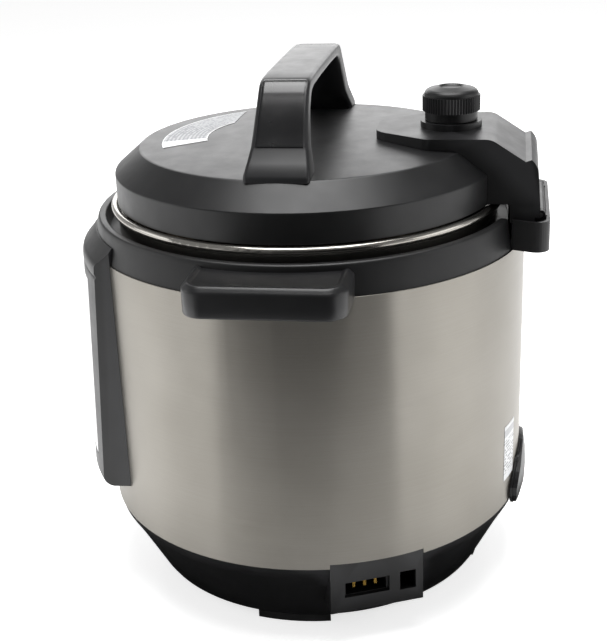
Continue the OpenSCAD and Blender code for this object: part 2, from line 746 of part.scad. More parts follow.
module hood_block(t) {
  intersection() {
    rotate([90, 0, 90]) translate([0, 0, -hood_half - 2]) linear_extrude(2 * hood_half + 4)
      hood_side(t);
    translate([0, 0, rim_z - 10]) linear_extrude(hood_rise + 20) hood_plan(-t);
  }
}
module valve_hood() {
  color(SLATE) difference() {
    union() {
      difference() {
        hood_block(0);
        hood_block(wall);
        // the hinge ears stand here
        for (s = [-1, 1]) translate([s * (knuckle_half + ear_gap + ear_w / 2), hinge_y, hinge_z - 2])
          cube([ear_w + 2 * ear_gap + 0.2, 16, 12], center = true);
        slab(-hood_half - 1, hood_half + 1, hinge_y - 3.4, hinge_y + 3, rim_z - 10, hinge_z - 1);
      }
      translate([0, hinge_y, hinge_z]) rotate([0, 90, 0])
        cylinder(r = knuckle_r, h = 2 * knuckle_half, center = true);
      // raised seat of the steam knob
      rod_at(0, knob_y, knob_r + 1.2, hood_z - wall, hood_z + knob_seat);
      for (s = [-1, 1]) rod_at(s * 22, hood_front + 30, 4, crown_at(hood_front + 30), hood_z - 1);
    }
    lid_envelope(seat);
    disc(lid_r + seat, rim_z - 10, skirt_z);
    // clear of the steel bead
    slab(-hood_half - 1, hood_half + 1, lid_r - 8, rim_in_r - 0.2, rim_z - 10, bead_z + bead_t + 1);
    rod_at(0, knob_y, 8, lid_z, hood_z + 6);
    rod_at(float_x, float_y, 3, lid_z, hood_z + 6);
    translate([0, hinge_y, hinge_z]) rotate([0, 90, 0])
      cylinder(r = pin_r + fit, h = 2 * knuckle_half + 2, center = true);
  }
}
module lid_label() {
  color("#ecece8") intersection() {
    difference() {
      lid_envelope(0.25);
      lid_envelope(0);
    }
    translate([0, 0, lid_z - 2]) linear_extrude(10) polygon(concat(
      arc(0, 0, 92, 216, 291, 12), arc(0, 0, 63, 287, 238, 9)));
  }
}
module pressure_lid() {
  color(STEEL) difference() {
    union() {
      disc(plate_r, plate_z, plate_z + plate_t);
      ring(plate_r - pot_t, plate_r, plate_z - 4, plate_z + eps);
    }
    for (a = [45:90:315]) rotate([0, 0, a]) rod_at(post_r, 0, 2.2, plate_z - 1, plate_z + 3);
    rod_at(0, knob_y, 4, plate_z - 1, plate_z + 3);
    rod_at(float_x, float_y, 4, plate_z - 1, plate_z + 3);
  }
}
module sealing_ring() {
  color("#d9d8d2") difference() {
    ring(plate_r - 8, plate_r - pot_t - seat, plate_z - 4.6, plate_z - 0.05);
    ring(plate_r - 9, plate_r - 4, plate_z - 3.2, plate_z - 1.6);
  }
}
module seal_retainer() {
  color(STEEL) difference() {
    ring(plate_r - 11, plate_r - 4.4, plate_z - 3, plate_z - 1.8);
    ring(plate_r - 9, plate_r - 7.95, plate_z - 3.1, plate_z - 2.9);
  }
  color(STEEL) for (a = [22.5:45:359]) rotate([0, 0, a])
    slab(plate_r - 11, plate_r - 9, -4, 4, plate_z - 2, plate_z);
}
module vent_pipe() {
  color(STEEL) difference() {
    union() {
      rod_at(0, knob_y, 4 - fit, plate_z - 3, hood_z + 8);
      rod_at(0, knob_y, 6.5, plate_z + plate_t, plate_z + plate_t + 4);
      rod_at(0, knob_y, 6, plate_z - 3, plate_z);
    }
    rod_at(0, knob_y, 1.6, plate_z - 4, hood_z + 9);
  }
}
module vent_filter() {
  color(STEEL) difference() {
    rod_at(0, knob_y, 7, plate_z - 9, plate_z);
    rod_at(0, knob_y, 6.3, plate_z - 8.2, plate_z + 1);
    for (a = [0:45:315]) translate([0, knob_y, plate_z - 5]) rotate([0, 90, a])
      cylinder(r = 1.4, h = 12);
  }
}
module float_guide() {
  color(STEEL) difference() {
    union() {
      rod_at(float_x, float_y, 4 - fit, plate_z, plate_z + guide_h);
      rod_at(float_x, float_y, 6, plate_z + plate_t, plate_z + plate_t + 3);
    }
    rod_at(float_x, float_y, float_r + fit, plate_z - 1, plate_z + guide_h + 1);
  }
}
module float_valve() {
  color("#b5302a") {
    rod_at(float_x, float_y, float_r, float_z - 3.5, hood_z - 1);
    rod_at(float_x, float_y, 4.6, float_z - 3.5, float_z - 1.5);
    rod_at(float_x, float_y, 3.4, plate_z + guide_h + clear, plate_z + guide_h + 1.5);
  }
}
module float_seal() {
  color("#d9d8d2") translate([float_x, float_y, 0]) ring(float_r, 4.4, float_z - 1.5, float_z);
}
module lid_screws() {
  color(STEEL) for (a = [45:90:315]) rotate([0, 0, a]) {
    rod_at(post_r, 0, 4, plate_z - 2, plate_z);
    rod_at(post_r, 0, 1.7 - fit, plate_z - eps, plate_z + 14);
  }
}

// ---- Lid handle and lock plate ----------------------------------------------------------------------
function grip_outer() = [
  [grip_tip, lid_z - 1], [grip_tip - 1, lid_z + 2.5], [grip_tip - 13.5, lid_z + 15],
  [grip_tip - 24.3, grip_z - 20.5], [grip_tip - 33.5, grip_z - 8.6]];
module grip_section() {
  outer = concat(grip_outer(), arc(grip_tip - 44.5, grip_z - 10, 9, 48, 84, 4));
  inner = concat([[grip_tip - 22, lid_z - 1], [grip_tip - 31.5, lid_z + 16]],
    arc(grip_tip - 52.5, grip_z - grip_t - 11, 10, 10, 85, 5));
  polygon(concat(outer, [[0, grip_z]], reversed(mirrored(outer)), mirrored(inner),
    reversed(inner)));
}
module grip_side(t) {
  for (s = [0, 1]) mirror([s, 0]) polygon([[0, lid_z - 2], [grip_foot_half - t, lid_z - 2],
    [grip_foot_half - t, lid_z + 2], [grip_top_half + 1.4 - t, lid_z + 15],
    [grip_top_half - t, grip_z - 9], [grip_top_half + 0.2 - t, grip_z - 3.2],
    [grip_top_half - 2.2 - t, grip_z + 1], [0, grip_z + 2]]);
}
module inlay_solid(grow) {
  o = grip_outer();
  for (s = [0, 1]) mirror([s, 0, 0]) rotate([90, 0, 0])
    translate([0, 0, -grip_top_half + 3 - grow]) linear_extrude(2 * (grip_top_half - 3 + grow))
      polygon([[o[2][0] - 1.6, o[2][1] + 2 - grow], [o[2][0] + 6 * grow - 1, o[2][1] + 2 - grow],
        [o[3][0] + 8 * grow + 0.1, o[3][1] + 8 * grow], [o[4][0] + 8 * grow + 0.6, o[4][1] + grow],
        [o[4][0] - 0.4 - grow, o[4][1] + grow], [o[3][0] - 1 - grow, o[3][1] - 0.5]]);
}
module grip_block() {
  intersection() {
    rotate([90, 0, 0]) translate([0, 0, -grip_foot_half - 2])
      linear_extrude(2 * grip_foot_half + 4) grip_section();
    rotate([90, 0, 90]) translate([0, 0, -lid_r]) linear_extrude(2 * lid_r) grip_side(0);
  }
}
module studs(r, z0, z1) {
  for (a = [0, 180]) rotate([0, 0, a + stud_lead]) rod_at(stud_at, 0, r, z0, z1);
}
module lid_handle() {
  color(SLATE) difference() {
    union() {
      difference() {
        grip_block();
        lid_envelope(clear);
        inlay_solid(seat);
      }
      studs(stud_r, lock_z + lock_t, crown_at(stud_at) + 5);
    }
    studs(1.5, lock_z, lock_z + 16);
  }
}
module handle_inlays() {
  color("#0f0f11") intersection() {
    inlay_solid(0);
    grip_block();
  }
}
module lock_plate() {
  arm = 17;
  color(STEEL) {
    difference() {
      union() {
        ring(hub_r + fit, 18, lock_z, lock_z + lock_t);
        ring(lock_r - 9, lock_r, lock_z, lock_z + lock_t);
        for (a = [0, 180, 270]) rotate([0, 0, a + stud_lead])
          slab(14, lock_r - 4, -arm, arm, lock_z, lock_z + lock_t);
        ring(lock_r - lock_t, lock_r, lock_lug_z, lock_z + eps);
      }
      disc(hub_r + fit, lock_z - 1, lock_z + 4);
      for (a = [0, 180]) rotate([0, 0, a + stud_lead]) rod_at(stud_at, 0, 1.9, lock_z - 1, lock_z + 4);
    }
    for (i = [0:lugs - 1])
      sector(lock_r - 0.4, neck_in - 0.5, lock_lug_z, lock_lug_z + lock_lug_h,
        (i + 0.5) * lug_pitch, lug_arc / 2);
  }
}
module lock_screws() {
  color(STEEL) for (a = [0, 180]) rotate([0, 0, a + stud_lead]) {
    rod_at(stud_at, 0, 3.4, lock_z - 2, lock_z);
    rod_at(stud_at, 0, 1.5 - fit, lock_z - eps, lock_z + 14);
  }
}

// ---- Steam knob ----------------------------------------------------------------------------------------
module steam_knob() {
  ribs = 60;
  color(SLATE) translate([0, knob_y, 0]) difference() {
    union() {
      disc(knob_r - 1.6, knob_z, knob_z + 6);
      translate([0, 0, knob_z + 5.5]) linear_extrude(9.4)
        polygon([for (i = [0:2 * ribs - 1]) let (r = knob_r - (i % 2) * 0.55)
          [r * cos(180 * i / ribs), r * sin(180 * i / ribs)]]);
      rotate_extrude() polygon(concat([[0, knob_z + 14]], [[knob_r - 1, knob_z + 14]],
        arc(knob_r - 5, knob_z + 15, 4, 0, 72, 5), [[8, knob_z + 20.3], [6.6, knob_z + 19.2],
        [0, knob_z + 19]]));
    }
    disc(10.4, knob_z - 1, knob_z + 9);
    disc(4 + clear, knob_z - 1, hood_z + 9);
  }
}
module knob_weight() {
  color(STEEL) translate([0, knob_y, 0]) ring(4 + fit, 10.3, knob_z + 0.5, knob_z + 8.8);
}

base_shell();
bottom_cover();
feet();
base_screws();
body_sleeve();
collar();
side_handle_right();
side_handle_left();
side_handle_screws();
control_housing();
control_fascia();
display_window();
control_board();
outer_pot();
heating_plate();
inner_pot();
hinge_pin();
power_inlet();
inlet_pins();
power_board();
board_components();
pressure_switch();
thermal_fuse();
sensor_bracket();
sensor_spring();
rating_label();
cup_rail();
temperature_sensor();
condensation_cup();
lid_cover();
valve_hood();
lid_label();
pressure_lid();
sealing_ring();
seal_retainer();
vent_pipe();
vent_filter();
float_guide();
lid_screws();
lid_handle();
handle_inlays();
lock_plate();
lock_screws();
steam_knob();
knob_weight();
float_valve();
float_seal();
button_1();
button_2();
button_3();
button_4();
button_5();
button_6();
button_7();
button_8();
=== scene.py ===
# Electric rice and pressure cooker, dressed for its looks on a fixed CAD frame.
# All sizes are metres in the frame's own axes: +Z up, control panel at -Y, lid hinge at +Y.
import json
import logging
import math
from dataclasses import dataclass
from enum import Enum

import bmesh
import bpy
from mathutils import Matrix, Vector


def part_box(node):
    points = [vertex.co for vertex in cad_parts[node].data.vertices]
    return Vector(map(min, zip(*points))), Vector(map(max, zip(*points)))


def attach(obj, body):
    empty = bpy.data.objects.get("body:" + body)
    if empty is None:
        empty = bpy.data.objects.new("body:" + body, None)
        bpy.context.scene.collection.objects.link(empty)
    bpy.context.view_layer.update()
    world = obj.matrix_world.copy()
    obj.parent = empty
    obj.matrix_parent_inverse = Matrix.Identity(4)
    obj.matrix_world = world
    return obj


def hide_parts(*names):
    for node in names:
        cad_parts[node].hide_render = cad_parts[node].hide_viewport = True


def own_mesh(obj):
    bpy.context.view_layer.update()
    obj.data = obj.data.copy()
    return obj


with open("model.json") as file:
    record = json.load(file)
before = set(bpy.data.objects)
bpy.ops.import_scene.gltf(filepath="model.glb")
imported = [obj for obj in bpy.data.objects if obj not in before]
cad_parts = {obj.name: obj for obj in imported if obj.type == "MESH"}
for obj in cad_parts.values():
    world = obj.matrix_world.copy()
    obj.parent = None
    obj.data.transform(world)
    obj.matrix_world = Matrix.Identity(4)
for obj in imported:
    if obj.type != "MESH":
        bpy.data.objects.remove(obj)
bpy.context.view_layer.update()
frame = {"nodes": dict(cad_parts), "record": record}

LOG = logging.getLogger("rice_cooker")
MM = 0.001


def linear(hex_colour: str) -> tuple[float, float, float, float]:
    """Turns an sRGB hex colour into linear RGBA.

    Args:
        hex_colour: Six hex digits, with or without a leading hash.

    Returns:
        The linear red, green, blue and an alpha of 1.
    """
    digits = hex_colour.lstrip("#")
    parts = [int(digits[i:i + 2], 16) / 255 for i in (0, 2, 4)]
    red, green, blue = (c / 12.92 if c <= 0.04045 else ((c + 0.055) / 1.055) ** 2.4 for c in parts)
    return red, green, blue, 1.0


def add_node(tree: bpy.types.NodeTree, kind: str, inputs: dict | None = None, **settings) -> bpy.types.Node:
    """Adds a node, sets its properties and fills or links its sockets.

    Args:
        tree: The node tree that takes the node.
        kind: The node's type, without the leading "ShaderNode".
        inputs: Socket name or number to a value, or to an output socket to link from.
        **settings: Properties of the node itself.

    Returns:
        The new node.
    """
    node = tree.nodes.new("ShaderNode" + kind)
    for name, value in settings.items():
        setattr(node, name, value)
    for key, value in (inputs or {}).items():
        if isinstance(value, bpy.types.NodeSocket):
            tree.links.new(value, node.inputs[key])
        else:
            node.inputs[key].default_value = value
    return node


def axis_coordinates(tree: bpy.types.NodeTree, reach: float) -> dict[str, bpy.types.NodeSocket]:
    """Gives polar coordinates round the upright axis, in metres along the surface.

    Args:
        tree: The node tree that takes the nodes.
        reach: Radius at which the angle is turned into a length.

    Returns:
        Sockets for "around", "height", "radius" and the plain "point".
    """
    point = add_node(tree, "TexCoord").outputs["Object"]
    split = add_node(tree, "SeparateXYZ", {0: point})
    angle = add_node(tree, "Math", {0: split.outputs["Y"], 1: split.outputs["X"]}, operation="ARCTAN2")
    around = add_node(tree, "Math", {0: angle.outputs[0], 1: reach}, operation="MULTIPLY")
    flat = add_node(tree, "CombineXYZ", {"X": split.outputs["X"], "Y": split.outputs["Y"]})
    radius = add_node(tree, "VectorMath", {0: flat.outputs[0]}, operation="LENGTH")
    return {"around": around.outputs[0], "height": split.outputs["Z"],
            "radius": radius.outputs["Value"], "point": point}


def start_material(name: str) -> tuple[bpy.types.Material, bpy.types.NodeTree, bpy.types.Node]:
    """Makes a material with one Principled shader.

    Args:
        name: The material's name.

    Returns:
        The material, its node tree and the shader.
    """
    material = bpy.data.materials.new(name)
    material.use_nodes = True
    tree = material.node_tree
    tree.nodes.clear()
    shader = add_node(tree, "BsdfPrincipled")
    output = add_node(tree, "OutputMaterial")
    tree.links.new(shader.outputs[0], output.inputs["Surface"])
    return material, tree, shader


def ramp(tree: bpy.types.NodeTree, factor: bpy.types.NodeSocket,
         stops: list[tuple[float, str]]) -> bpy.types.NodeSocket:
    """Adds a colour ramp.

    Args:
        tree: The node tree that takes the node.
        factor: The socket that drives the ramp.
        stops: Pairs of position and sRGB hex colour.

    Returns:
        The ramp's colour socket.
    """
    node = add_node(tree, "ValToRGB", {"Fac": factor})
    elements = node.color_ramp.elements
    elements[0].position, elements[0].color = stops[0][0], linear(stops[0][1])
    elements[1].position, elements[1].color = stops[-1][0], linear(stops[-1][1])
    for place, colour in stops[1:-1]:
        extra = elements.new(place)
        extra.color = linear(colour)
    return node.outputs["Color"]


def spread(tree: bpy.types.NodeTree, value: bpy.types.NodeSocket, low: float, high: float,
           to_low: float, to_high: float) -> bpy.types.NodeSocket:
    """Maps a value from one range to another, clamped.

    Args:
        tree: The node tree that takes the node.
        value: The socket to map.
        low: Lower end of the value's range.
        high: Upper end of the value's range.
        to_low: What the lower end becomes.
        to_high: What the upper end becomes.

    Returns:
        The mapped socket.
    """
    node = add_node(tree, "MapRange", {"Value": value, "From Min": low, "From Max": high,
                                       "To Min": to_low, "To Max": to_high})
    return node.outputs["Result"]


def mix_colour(tree: bpy.types.NodeTree, factor: bpy.types.NodeSocket, first: bpy.types.NodeSocket,
               second_hex: str) -> bpy.types.NodeSocket:
    """Blends a colour towards a fixed one.

    Args:
        tree: The node tree that takes the node.
        factor: Socket that says how much of the second colour shows.
        first: Socket of the first colour.
        second_hex: The second colour, as sRGB hex.

    Returns:
        The blended colour socket.
    """
    node = tree.nodes.new("ShaderNodeMix")
    node.data_type = "RGBA"
    colours = [socket for socket in node.inputs if socket.type == "RGBA"]
    tree.links.new(factor, node.inputs[0])
    tree.links.new(first, colours[0])
    colours[1].default_value = linear(second_hex)
    return next(socket for socket in node.outputs if socket.type == "RGBA")


@dataclass(frozen=True)
class MouldedPlastic:
    """Injection-moulded polypropylene or ABS from a spark-eroded tool.

    The eye sees a dark satin skin with a very fine grain, a slight cloudiness where the melt
    flowed, and edges rubbed a touch lighter and smoother by hands and cloths.
    """

    name: str
    body_hex: str
    cloud_hex: str
    rubbed_hex: str
    roughness: float = 0.42
    grain_mm: float = 0.55
    grain_height_mm: float = 0.012
    coat: float = 0.0

    def build(self) -> bpy.types.Material:
        """Builds the material.

        Returns:
            The finished material.
        """
        material, tree, shader = start_material(self.name)
        point = add_node(tree, "TexCoord").outputs["Object"]
        # flow clouds are a few centimetres across
        cloud = add_node(tree, "TexNoise", {"Vector": point, "Scale": 1 / (38 * MM), "Detail": 3.0, "Roughness": 0.5})
        colour = ramp(tree, cloud.outputs["Fac"], [(0.35, self.body_hex), (0.68, self.cloud_hex)])
        # the grain is drawn at about half a millimetre, a little coarser than the tool's own
        grain = add_node(tree, "TexNoise", {"Vector": point, "Scale": 1 / (self.grain_mm * MM), "Detail": 2.0})
        edge = add_node(tree, "NewGeometry").outputs["Pointiness"]
        rubbed = spread(tree, edge, 0.53, 0.62, 0.0, 0.55)
        tree.links.new(mix_colour(tree, rubbed, colour, self.rubbed_hex), shader.inputs["Base Color"])
        # handling marks change the gloss over patches of a centimetre or two
        smear = add_node(tree, "TexNoise", {"Vector": point, "Scale": 1 / (17 * MM), "Detail": 5.0, "Roughness": 0.65})
        gloss = spread(tree, smear.outputs["Fac"], 0.3, 0.7, self.roughness - 0.035, self.roughness + 0.045)
        tree.links.new(gloss, shader.inputs["Roughness"])
        bump = add_node(tree, "Bump", {"Height": grain.outputs["Fac"], "Strength": 0.35,
                                       "Distance": self.grain_height_mm * MM})
        tree.links.new(bump.outputs[0], shader.inputs["Normal"])
        shader.inputs["IOR"].default_value = 1.49
        shader.inputs["Coat Weight"].default_value = self.coat
        shader.inputs["Coat Roughness"].default_value = 0.12
        return material


@dataclass(frozen=True)
class BrushedSteel:
    """Stainless sheet or pressing, brushed or spun round the upright axis.

    The eye sees fine level lines, highlights drawn out across them, and slow changes of tone.
    """

    name: str
    body_hex: str
    line_hex: str
    roughness: float = 0.3
    line_mm: float = 0.22
    line_length_mm: float = 45.0
    line_height_mm: float = 0.006
    anisotropy: float = 0.6
    reach: float = 0.14

    def build(self) -> bpy.types.Material:
        """Builds the material.

        Returns:
            The finished material.
        """
        material, tree, shader = start_material(self.name)
        where = axis_coordinates(tree, self.reach)
        along = add_node(tree, "Math", {0: where["around"], 1: 1 / (self.line_length_mm * MM)}, operation="MULTIPLY")
        up = add_node(tree, "Math", {0: where["height"], 1: 1 / (self.line_mm * MM)}, operation="MULTIPLY")
        out = add_node(tree, "Math", {0: where["radius"], 1: 1 / (self.line_mm * MM)}, operation="MULTIPLY")
        vector = add_node(tree, "CombineXYZ", {"X": along.outputs[0], "Y": up.outputs[0], "Z": out.outputs[0]})
        lines = add_node(tree, "TexNoise", {"Vector": vector.outputs[0], "Scale": 1.0, "Detail": 3.0, "Roughness": 0.7})
        slow = add_node(tree, "TexNoise", {"Vector": where["point"], "Scale": 1 / (60 * MM), "Detail": 2.0})
        both = add_node(tree, "Math", {0: lines.outputs["Fac"], 1: slow.outputs["Fac"]}, operation="ADD")
        colour = ramp(tree, spread(tree, both.outputs[0], 0.6, 1.4, 0.0, 1.0),
                      [(0.0, self.line_hex), (1.0, self.body_hex)])
        tree.links.new(colour, shader.inputs["Base Color"])
        rough = spread(tree, lines.outputs["Fac"], 0.3, 0.7, self.roughness - 0.05, self.roughness + 0.06)
        tree.links.new(rough, shader.inputs["Roughness"])
        bump = add_node(tree, "Bump", {"Height": lines.outputs["Fac"], "Strength": 0.4,
                                       "Distance": self.line_height_mm * MM})
        tree.links.new(bump.outputs[0], shader.inputs["Normal"])
        tangent = add_node(tree, "Tangent", direction_type="RADIAL", axis="Z")
        tree.links.new(tangent.outputs[0], shader.inputs["Tangent"])
        shader.inputs["Metallic"].default_value = 1.0
        shader.inputs["Anisotropic"].default_value = self.anisotropy
        # a quarter turn: the lines run round, so each highlight is drawn out up and down
        shader.inputs["Anisotropic Rotation"].default_value = 0.25
        return material


@dataclass(frozen=True)
class CastMetal:
    """Cast, plated or stamped small metal, such as zinc-plated screws and die-cast aluminium.

    The eye sees a bright skin with fine pits and a faint change of tint from the plating bath.
    """

    name: str
    body_hex: str
    shade_hex: str
    roughness: float = 0.3
    pit_mm: float = 0.8
    pit_height_mm: float = 0.02

    def build(self) -> bpy.types.Material:
        """Builds the material.

        Returns:
            The finished material.
        """
        material, tree, shader = start_material(self.name)
        point = add_node(tree, "TexCoord").outputs["Object"]
        tint = add_node(tree, "TexNoise", {"Vector": point, "Scale": 1 / (12 * MM), "Detail": 4.0})
        pits = add_node(tree, "TexVoronoi", {"Vector": point, "Scale": 1 / (self.pit_mm * MM)})
        colour = ramp(tree, tint.outputs["Fac"], [(0.3, self.shade_hex), (0.7, self.body_hex)])
        tree.links.new(colour, shader.inputs["Base Color"])
        rough = spread(tree, tint.outputs["Fac"], 0.3, 0.7, self.roughness + 0.08, self.roughness - 0.04)
        tree.links.new(rough, shader.inputs["Roughness"])
        bump = add_node(tree, "Bump", {"Height": pits.outputs["Distance"], "Strength": 0.3,
                                       "Distance": self.pit_height_mm * MM})
        tree.links.new(bump.outputs[0], shader.inputs["Normal"])
        shader.inputs["Metallic"].default_value = 1.0
        return material


@dataclass(frozen=True)
class SoftRubber:
    """Moulded rubber or silicone.

    The eye sees a dull bloom with dust caught in a fine grain, and on silicone a milky depth.
    """

    name: str
    body_hex: str
    bloom_hex: str
    roughness: float = 0.6
    milky: float = 0.0

    def build(self) -> bpy.types.Material:
        """Builds the material.

        Returns:
            The finished material.
        """
        material, tree, shader = start_material(self.name)
        point = add_node(tree, "TexCoord").outputs["Object"]
        bloom = add_node(tree, "TexNoise", {"Vector": point, "Scale": 1 / (9 * MM), "Detail": 6.0, "Roughness": 0.7})
        colour = ramp(tree, bloom.outputs["Fac"], [(0.4, self.body_hex), (0.75, self.bloom_hex)])
        tree.links.new(colour, shader.inputs["Base Color"])
        grain = add_node(tree, "TexNoise", {"Vector": point, "Scale": 1 / (0.7 * MM), "Detail": 3.0})
        rough = spread(tree, bloom.outputs["Fac"], 0.3, 0.7, self.roughness - 0.06, self.roughness + 0.06)
        tree.links.new(rough, shader.inputs["Roughness"])
        bump = add_node(tree, "Bump", {"Height": grain.outputs["Fac"], "Strength": 0.3, "Distance": 0.03 * MM})
        tree.links.new(bump.outputs[0], shader.inputs["Normal"])
        shader.inputs["IOR"].default_value = 1.43
        shader.inputs["Subsurface Weight"].default_value = self.milky
        shader.inputs["Subsurface Scale"].default_value = 2 * MM
        return material


@dataclass(frozen=True)
class CircuitBoard:
    """Glass-fibre board under solder mask, with copper tracks just showing through.

    The eye sees a flat tinted lacquer, darker lines of tracks and small bright pads.
    """

    name: str
    mask_hex: str
    track_hex: str

    def build(self) -> bpy.types.Material:
        """Builds the material.

        Returns:
            The finished material.
        """
        material, tree, shader = start_material(self.name)
        point = add_node(tree, "TexCoord").outputs["Object"]
        # tracks run on a grid of 2.54 mm, as the parts' legs do
        grid = add_node(tree, "TexBrick", {"Vector": point, "Color1": linear(self.mask_hex),
                                           "Color2": linear(self.mask_hex), "Mortar": linear(self.track_hex),
                                           "Scale": 1 / (2.54 * MM) / 4, "Mortar Size": 0.03})
        weave = add_node(tree, "TexNoise", {"Vector": point, "Scale": 1 / (1.5 * MM), "Detail": 2.0})
        tree.links.new(grid.outputs["Color"], shader.inputs["Base Color"])
        rough = spread(tree, weave.outputs["Fac"], 0.3, 0.7, 0.28, 0.4)
        tree.links.new(rough, shader.inputs["Roughness"])
        shader.inputs["IOR"].default_value = 1.5
        return material


@dataclass(frozen=True)
class PrintedLabel:
    """White polyester label film with grey print.

    The eye sees a slightly glossy white film with rows of small grey marks. The marks are
    plain bars, so they say nothing.
    """

    name: str
    film_hex: str
    ink_hex: str
    band_hex: str
    foot: float
    top: float
    row_mm: float = 3.2
    reach: float = 0.14

    def build(self) -> bpy.types.Material:
        """Builds the material.

        Returns:
            The finished material.
        """
        material, tree, shader = start_material(self.name)
        where = axis_coordinates(tree, self.reach)
        across = where["height"]
        rows = add_node(tree, "Math", {0: across, 1: 1 / (self.row_mm * MM)}, operation="MULTIPLY")
        place = add_node(tree, "Math", {0: rows.outputs[0]}, operation="FRACT")
        row = add_node(tree, "Math", {0: rows.outputs[0]}, operation="FLOOR")
        in_row = add_node(tree, "Math", {0: place.outputs[0], 1: 0.46}, operation="GREATER_THAN")
        along = add_node(tree, "Math", {0: where["around"], 1: 1 / (1.5 * MM)}, operation="MULTIPLY")
        key = add_node(tree, "CombineXYZ", {"X": along.outputs[0], "Y": row.outputs[0]})
        words = add_node(tree, "TexNoise", {"Vector": key.outputs[0], "Scale": 0.62, "Detail": 1.0})
        in_word = add_node(tree, "Math", {0: words.outputs["Fac"], 1: 0.47}, operation="GREATER_THAN")
        mark = add_node(tree, "Math", {0: in_row.outputs[0], 1: in_word.outputs[0]}, operation="MULTIPLY")
        depth = spread(tree, across, self.foot, self.top, 0.0, 1.0)
        # plain margins, and a tinted header band along the upper edge
        low = add_node(tree, "Math", {0: depth, 1: 0.12}, operation="GREATER_THAN")
        high = add_node(tree, "Math", {0: depth, 1: 0.74}, operation="LESS_THAN")
        inside = add_node(tree, "Math", {0: low.outputs[0], 1: high.outputs[0]}, operation="MULTIPLY")
        ink = add_node(tree, "Math", {0: mark.outputs[0], 1: inside.outputs[0]}, operation="MULTIPLY")
        soft = add_node(tree, "Math", {0: ink.outputs[0], 1: 0.62}, operation="MULTIPLY")
        band = ramp(tree, depth, [(0.0, self.film_hex), (0.80, self.film_hex), (0.805, self.band_hex),
                                  (0.93, self.band_hex), (0.935, self.film_hex), (1.0, self.film_hex)])
        tree.links.new(mix_colour(tree, soft.outputs[0], band, self.ink_hex), shader.inputs["Base Color"])
        haze = add_node(tree, "TexNoise", {"Vector": where["point"], "Scale": 1 / (6 * MM)})
        tree.links.new(spread(tree, haze.outputs["Fac"], 0.3, 0.7, 0.34, 0.44), shader.inputs["Roughness"])
        shader.inputs["IOR"].default_value = 1.5
        return material


@dataclass(frozen=True)
class ArcLabel:
    """Grey polyester label on the lid, printed with a white outline.

    The eye sees a satin grey field with rows of small pale bars along its curve, a thin white
    line round it and a plain white field at one end.
    """

    name: str = "polyester_label_lid"
    field_hex: str = "#5e6064"
    ink_hex: str = "#95979b"
    white_hex: str = "#e2e3e3"
    inner: float = 0.0637
    outer: float = 0.0913
    row_mm: float = 2.6

    def build(self) -> bpy.types.Material:
        """Builds the material.

        Returns:
            The finished material.
        """
        material, tree, shader = start_material(self.name)
        where = axis_coordinates(tree, 0.078)
        rows = add_node(tree, "Math", {0: where["radius"], 1: 1 / (self.row_mm * MM)}, operation="MULTIPLY")
        place = add_node(tree, "Math", {0: rows.outputs[0]}, operation="FRACT")
        row = add_node(tree, "Math", {0: rows.outputs[0]}, operation="FLOOR")
        in_row = add_node(tree, "Math", {0: place.outputs[0], 1: 0.5}, operation="GREATER_THAN")
        along = add_node(tree, "Math", {0: where["around"], 1: 1 / (1.2 * MM)}, operation="MULTIPLY")
        key = add_node(tree, "CombineXYZ", {"X": along.outputs[0], "Y": row.outputs[0]})
        words = add_node(tree, "TexNoise", {"Vector": key.outputs[0], "Scale": 0.7, "Detail": 1.0})
        in_word = add_node(tree, "Math", {0: words.outputs["Fac"], 1: 0.45}, operation="GREATER_THAN")
        mark = add_node(tree, "Math", {0: in_row.outputs[0], 1: in_word.outputs[0]}, operation="MULTIPLY")
        sheen = add_node(tree, "TexNoise", {"Vector": where["point"], "Scale": 1 / (9 * MM), "Detail": 3.0})
        field = ramp(tree, sheen.outputs["Fac"], [(0.3, self.field_hex), (0.7, "#686a6e")])
        printed = mix_colour(tree, mark.outputs[0], field, self.ink_hex)
        outside = add_node(tree, "Math", {0: where["radius"], 1: self.outer}, operation="GREATER_THAN")
        within = add_node(tree, "Math", {0: where["radius"], 1: self.inner}, operation="LESS_THAN")
        # the plain end lies past 281 degrees round, counted from the right-hand grip
        end = add_node(tree, "Math", {0: where["around"], 1: math.radians(-79) * 0.078}, operation="GREATER_THAN")
        rim = add_node(tree, "Math", {0: outside.outputs[0], 1: within.outputs[0]}, operation="MAXIMUM")
        white = add_node(tree, "Math", {0: rim.outputs[0], 1: end.outputs[0]}, operation="MAXIMUM")
        colour = mix_colour(tree, white.outputs[0], printed, self.white_hex)
        tree.links.new(colour, shader.inputs["Base Color"])
        tree.links.new(spread(tree, sheen.outputs["Fac"], 0.3, 0.7, 0.3, 0.42), shader.inputs["Roughness"])
        shader.inputs["IOR"].default_value = 1.5
        return material


@dataclass(frozen=True)
class PrintedInk:
    """Screen-printed ink on plastic, a few hundredths of a millimetre thick.

    The eye sees a matt film, a little uneven where the screen's mesh let it through.
    """

    name: str
    ink_hex: str
    thin_hex: str
    roughness: float = 0.5

    def build(self) -> bpy.types.Material:
        """Builds the material.

        Returns:
            The finished material.
        """
        material, tree, shader = start_material(self.name)
        point = add_node(tree, "TexCoord").outputs["Object"]
        mesh = add_node(tree, "TexNoise", {"Vector": point, "Scale": 1 / (0.4 * MM), "Detail": 2.0})
        colour = ramp(tree, mesh.outputs["Fac"], [(0.3, self.thin_hex), (0.6, self.ink_hex)])
        tree.links.new(colour, shader.inputs["Base Color"])
        rough = spread(tree, mesh.outputs["Fac"], 0.3, 0.7, self.roughness - 0.06, self.roughness + 0.06)
        tree.links.new(rough, shader.inputs["Roughness"])
        shader.inputs["IOR"].default_value = 1.5
        return material


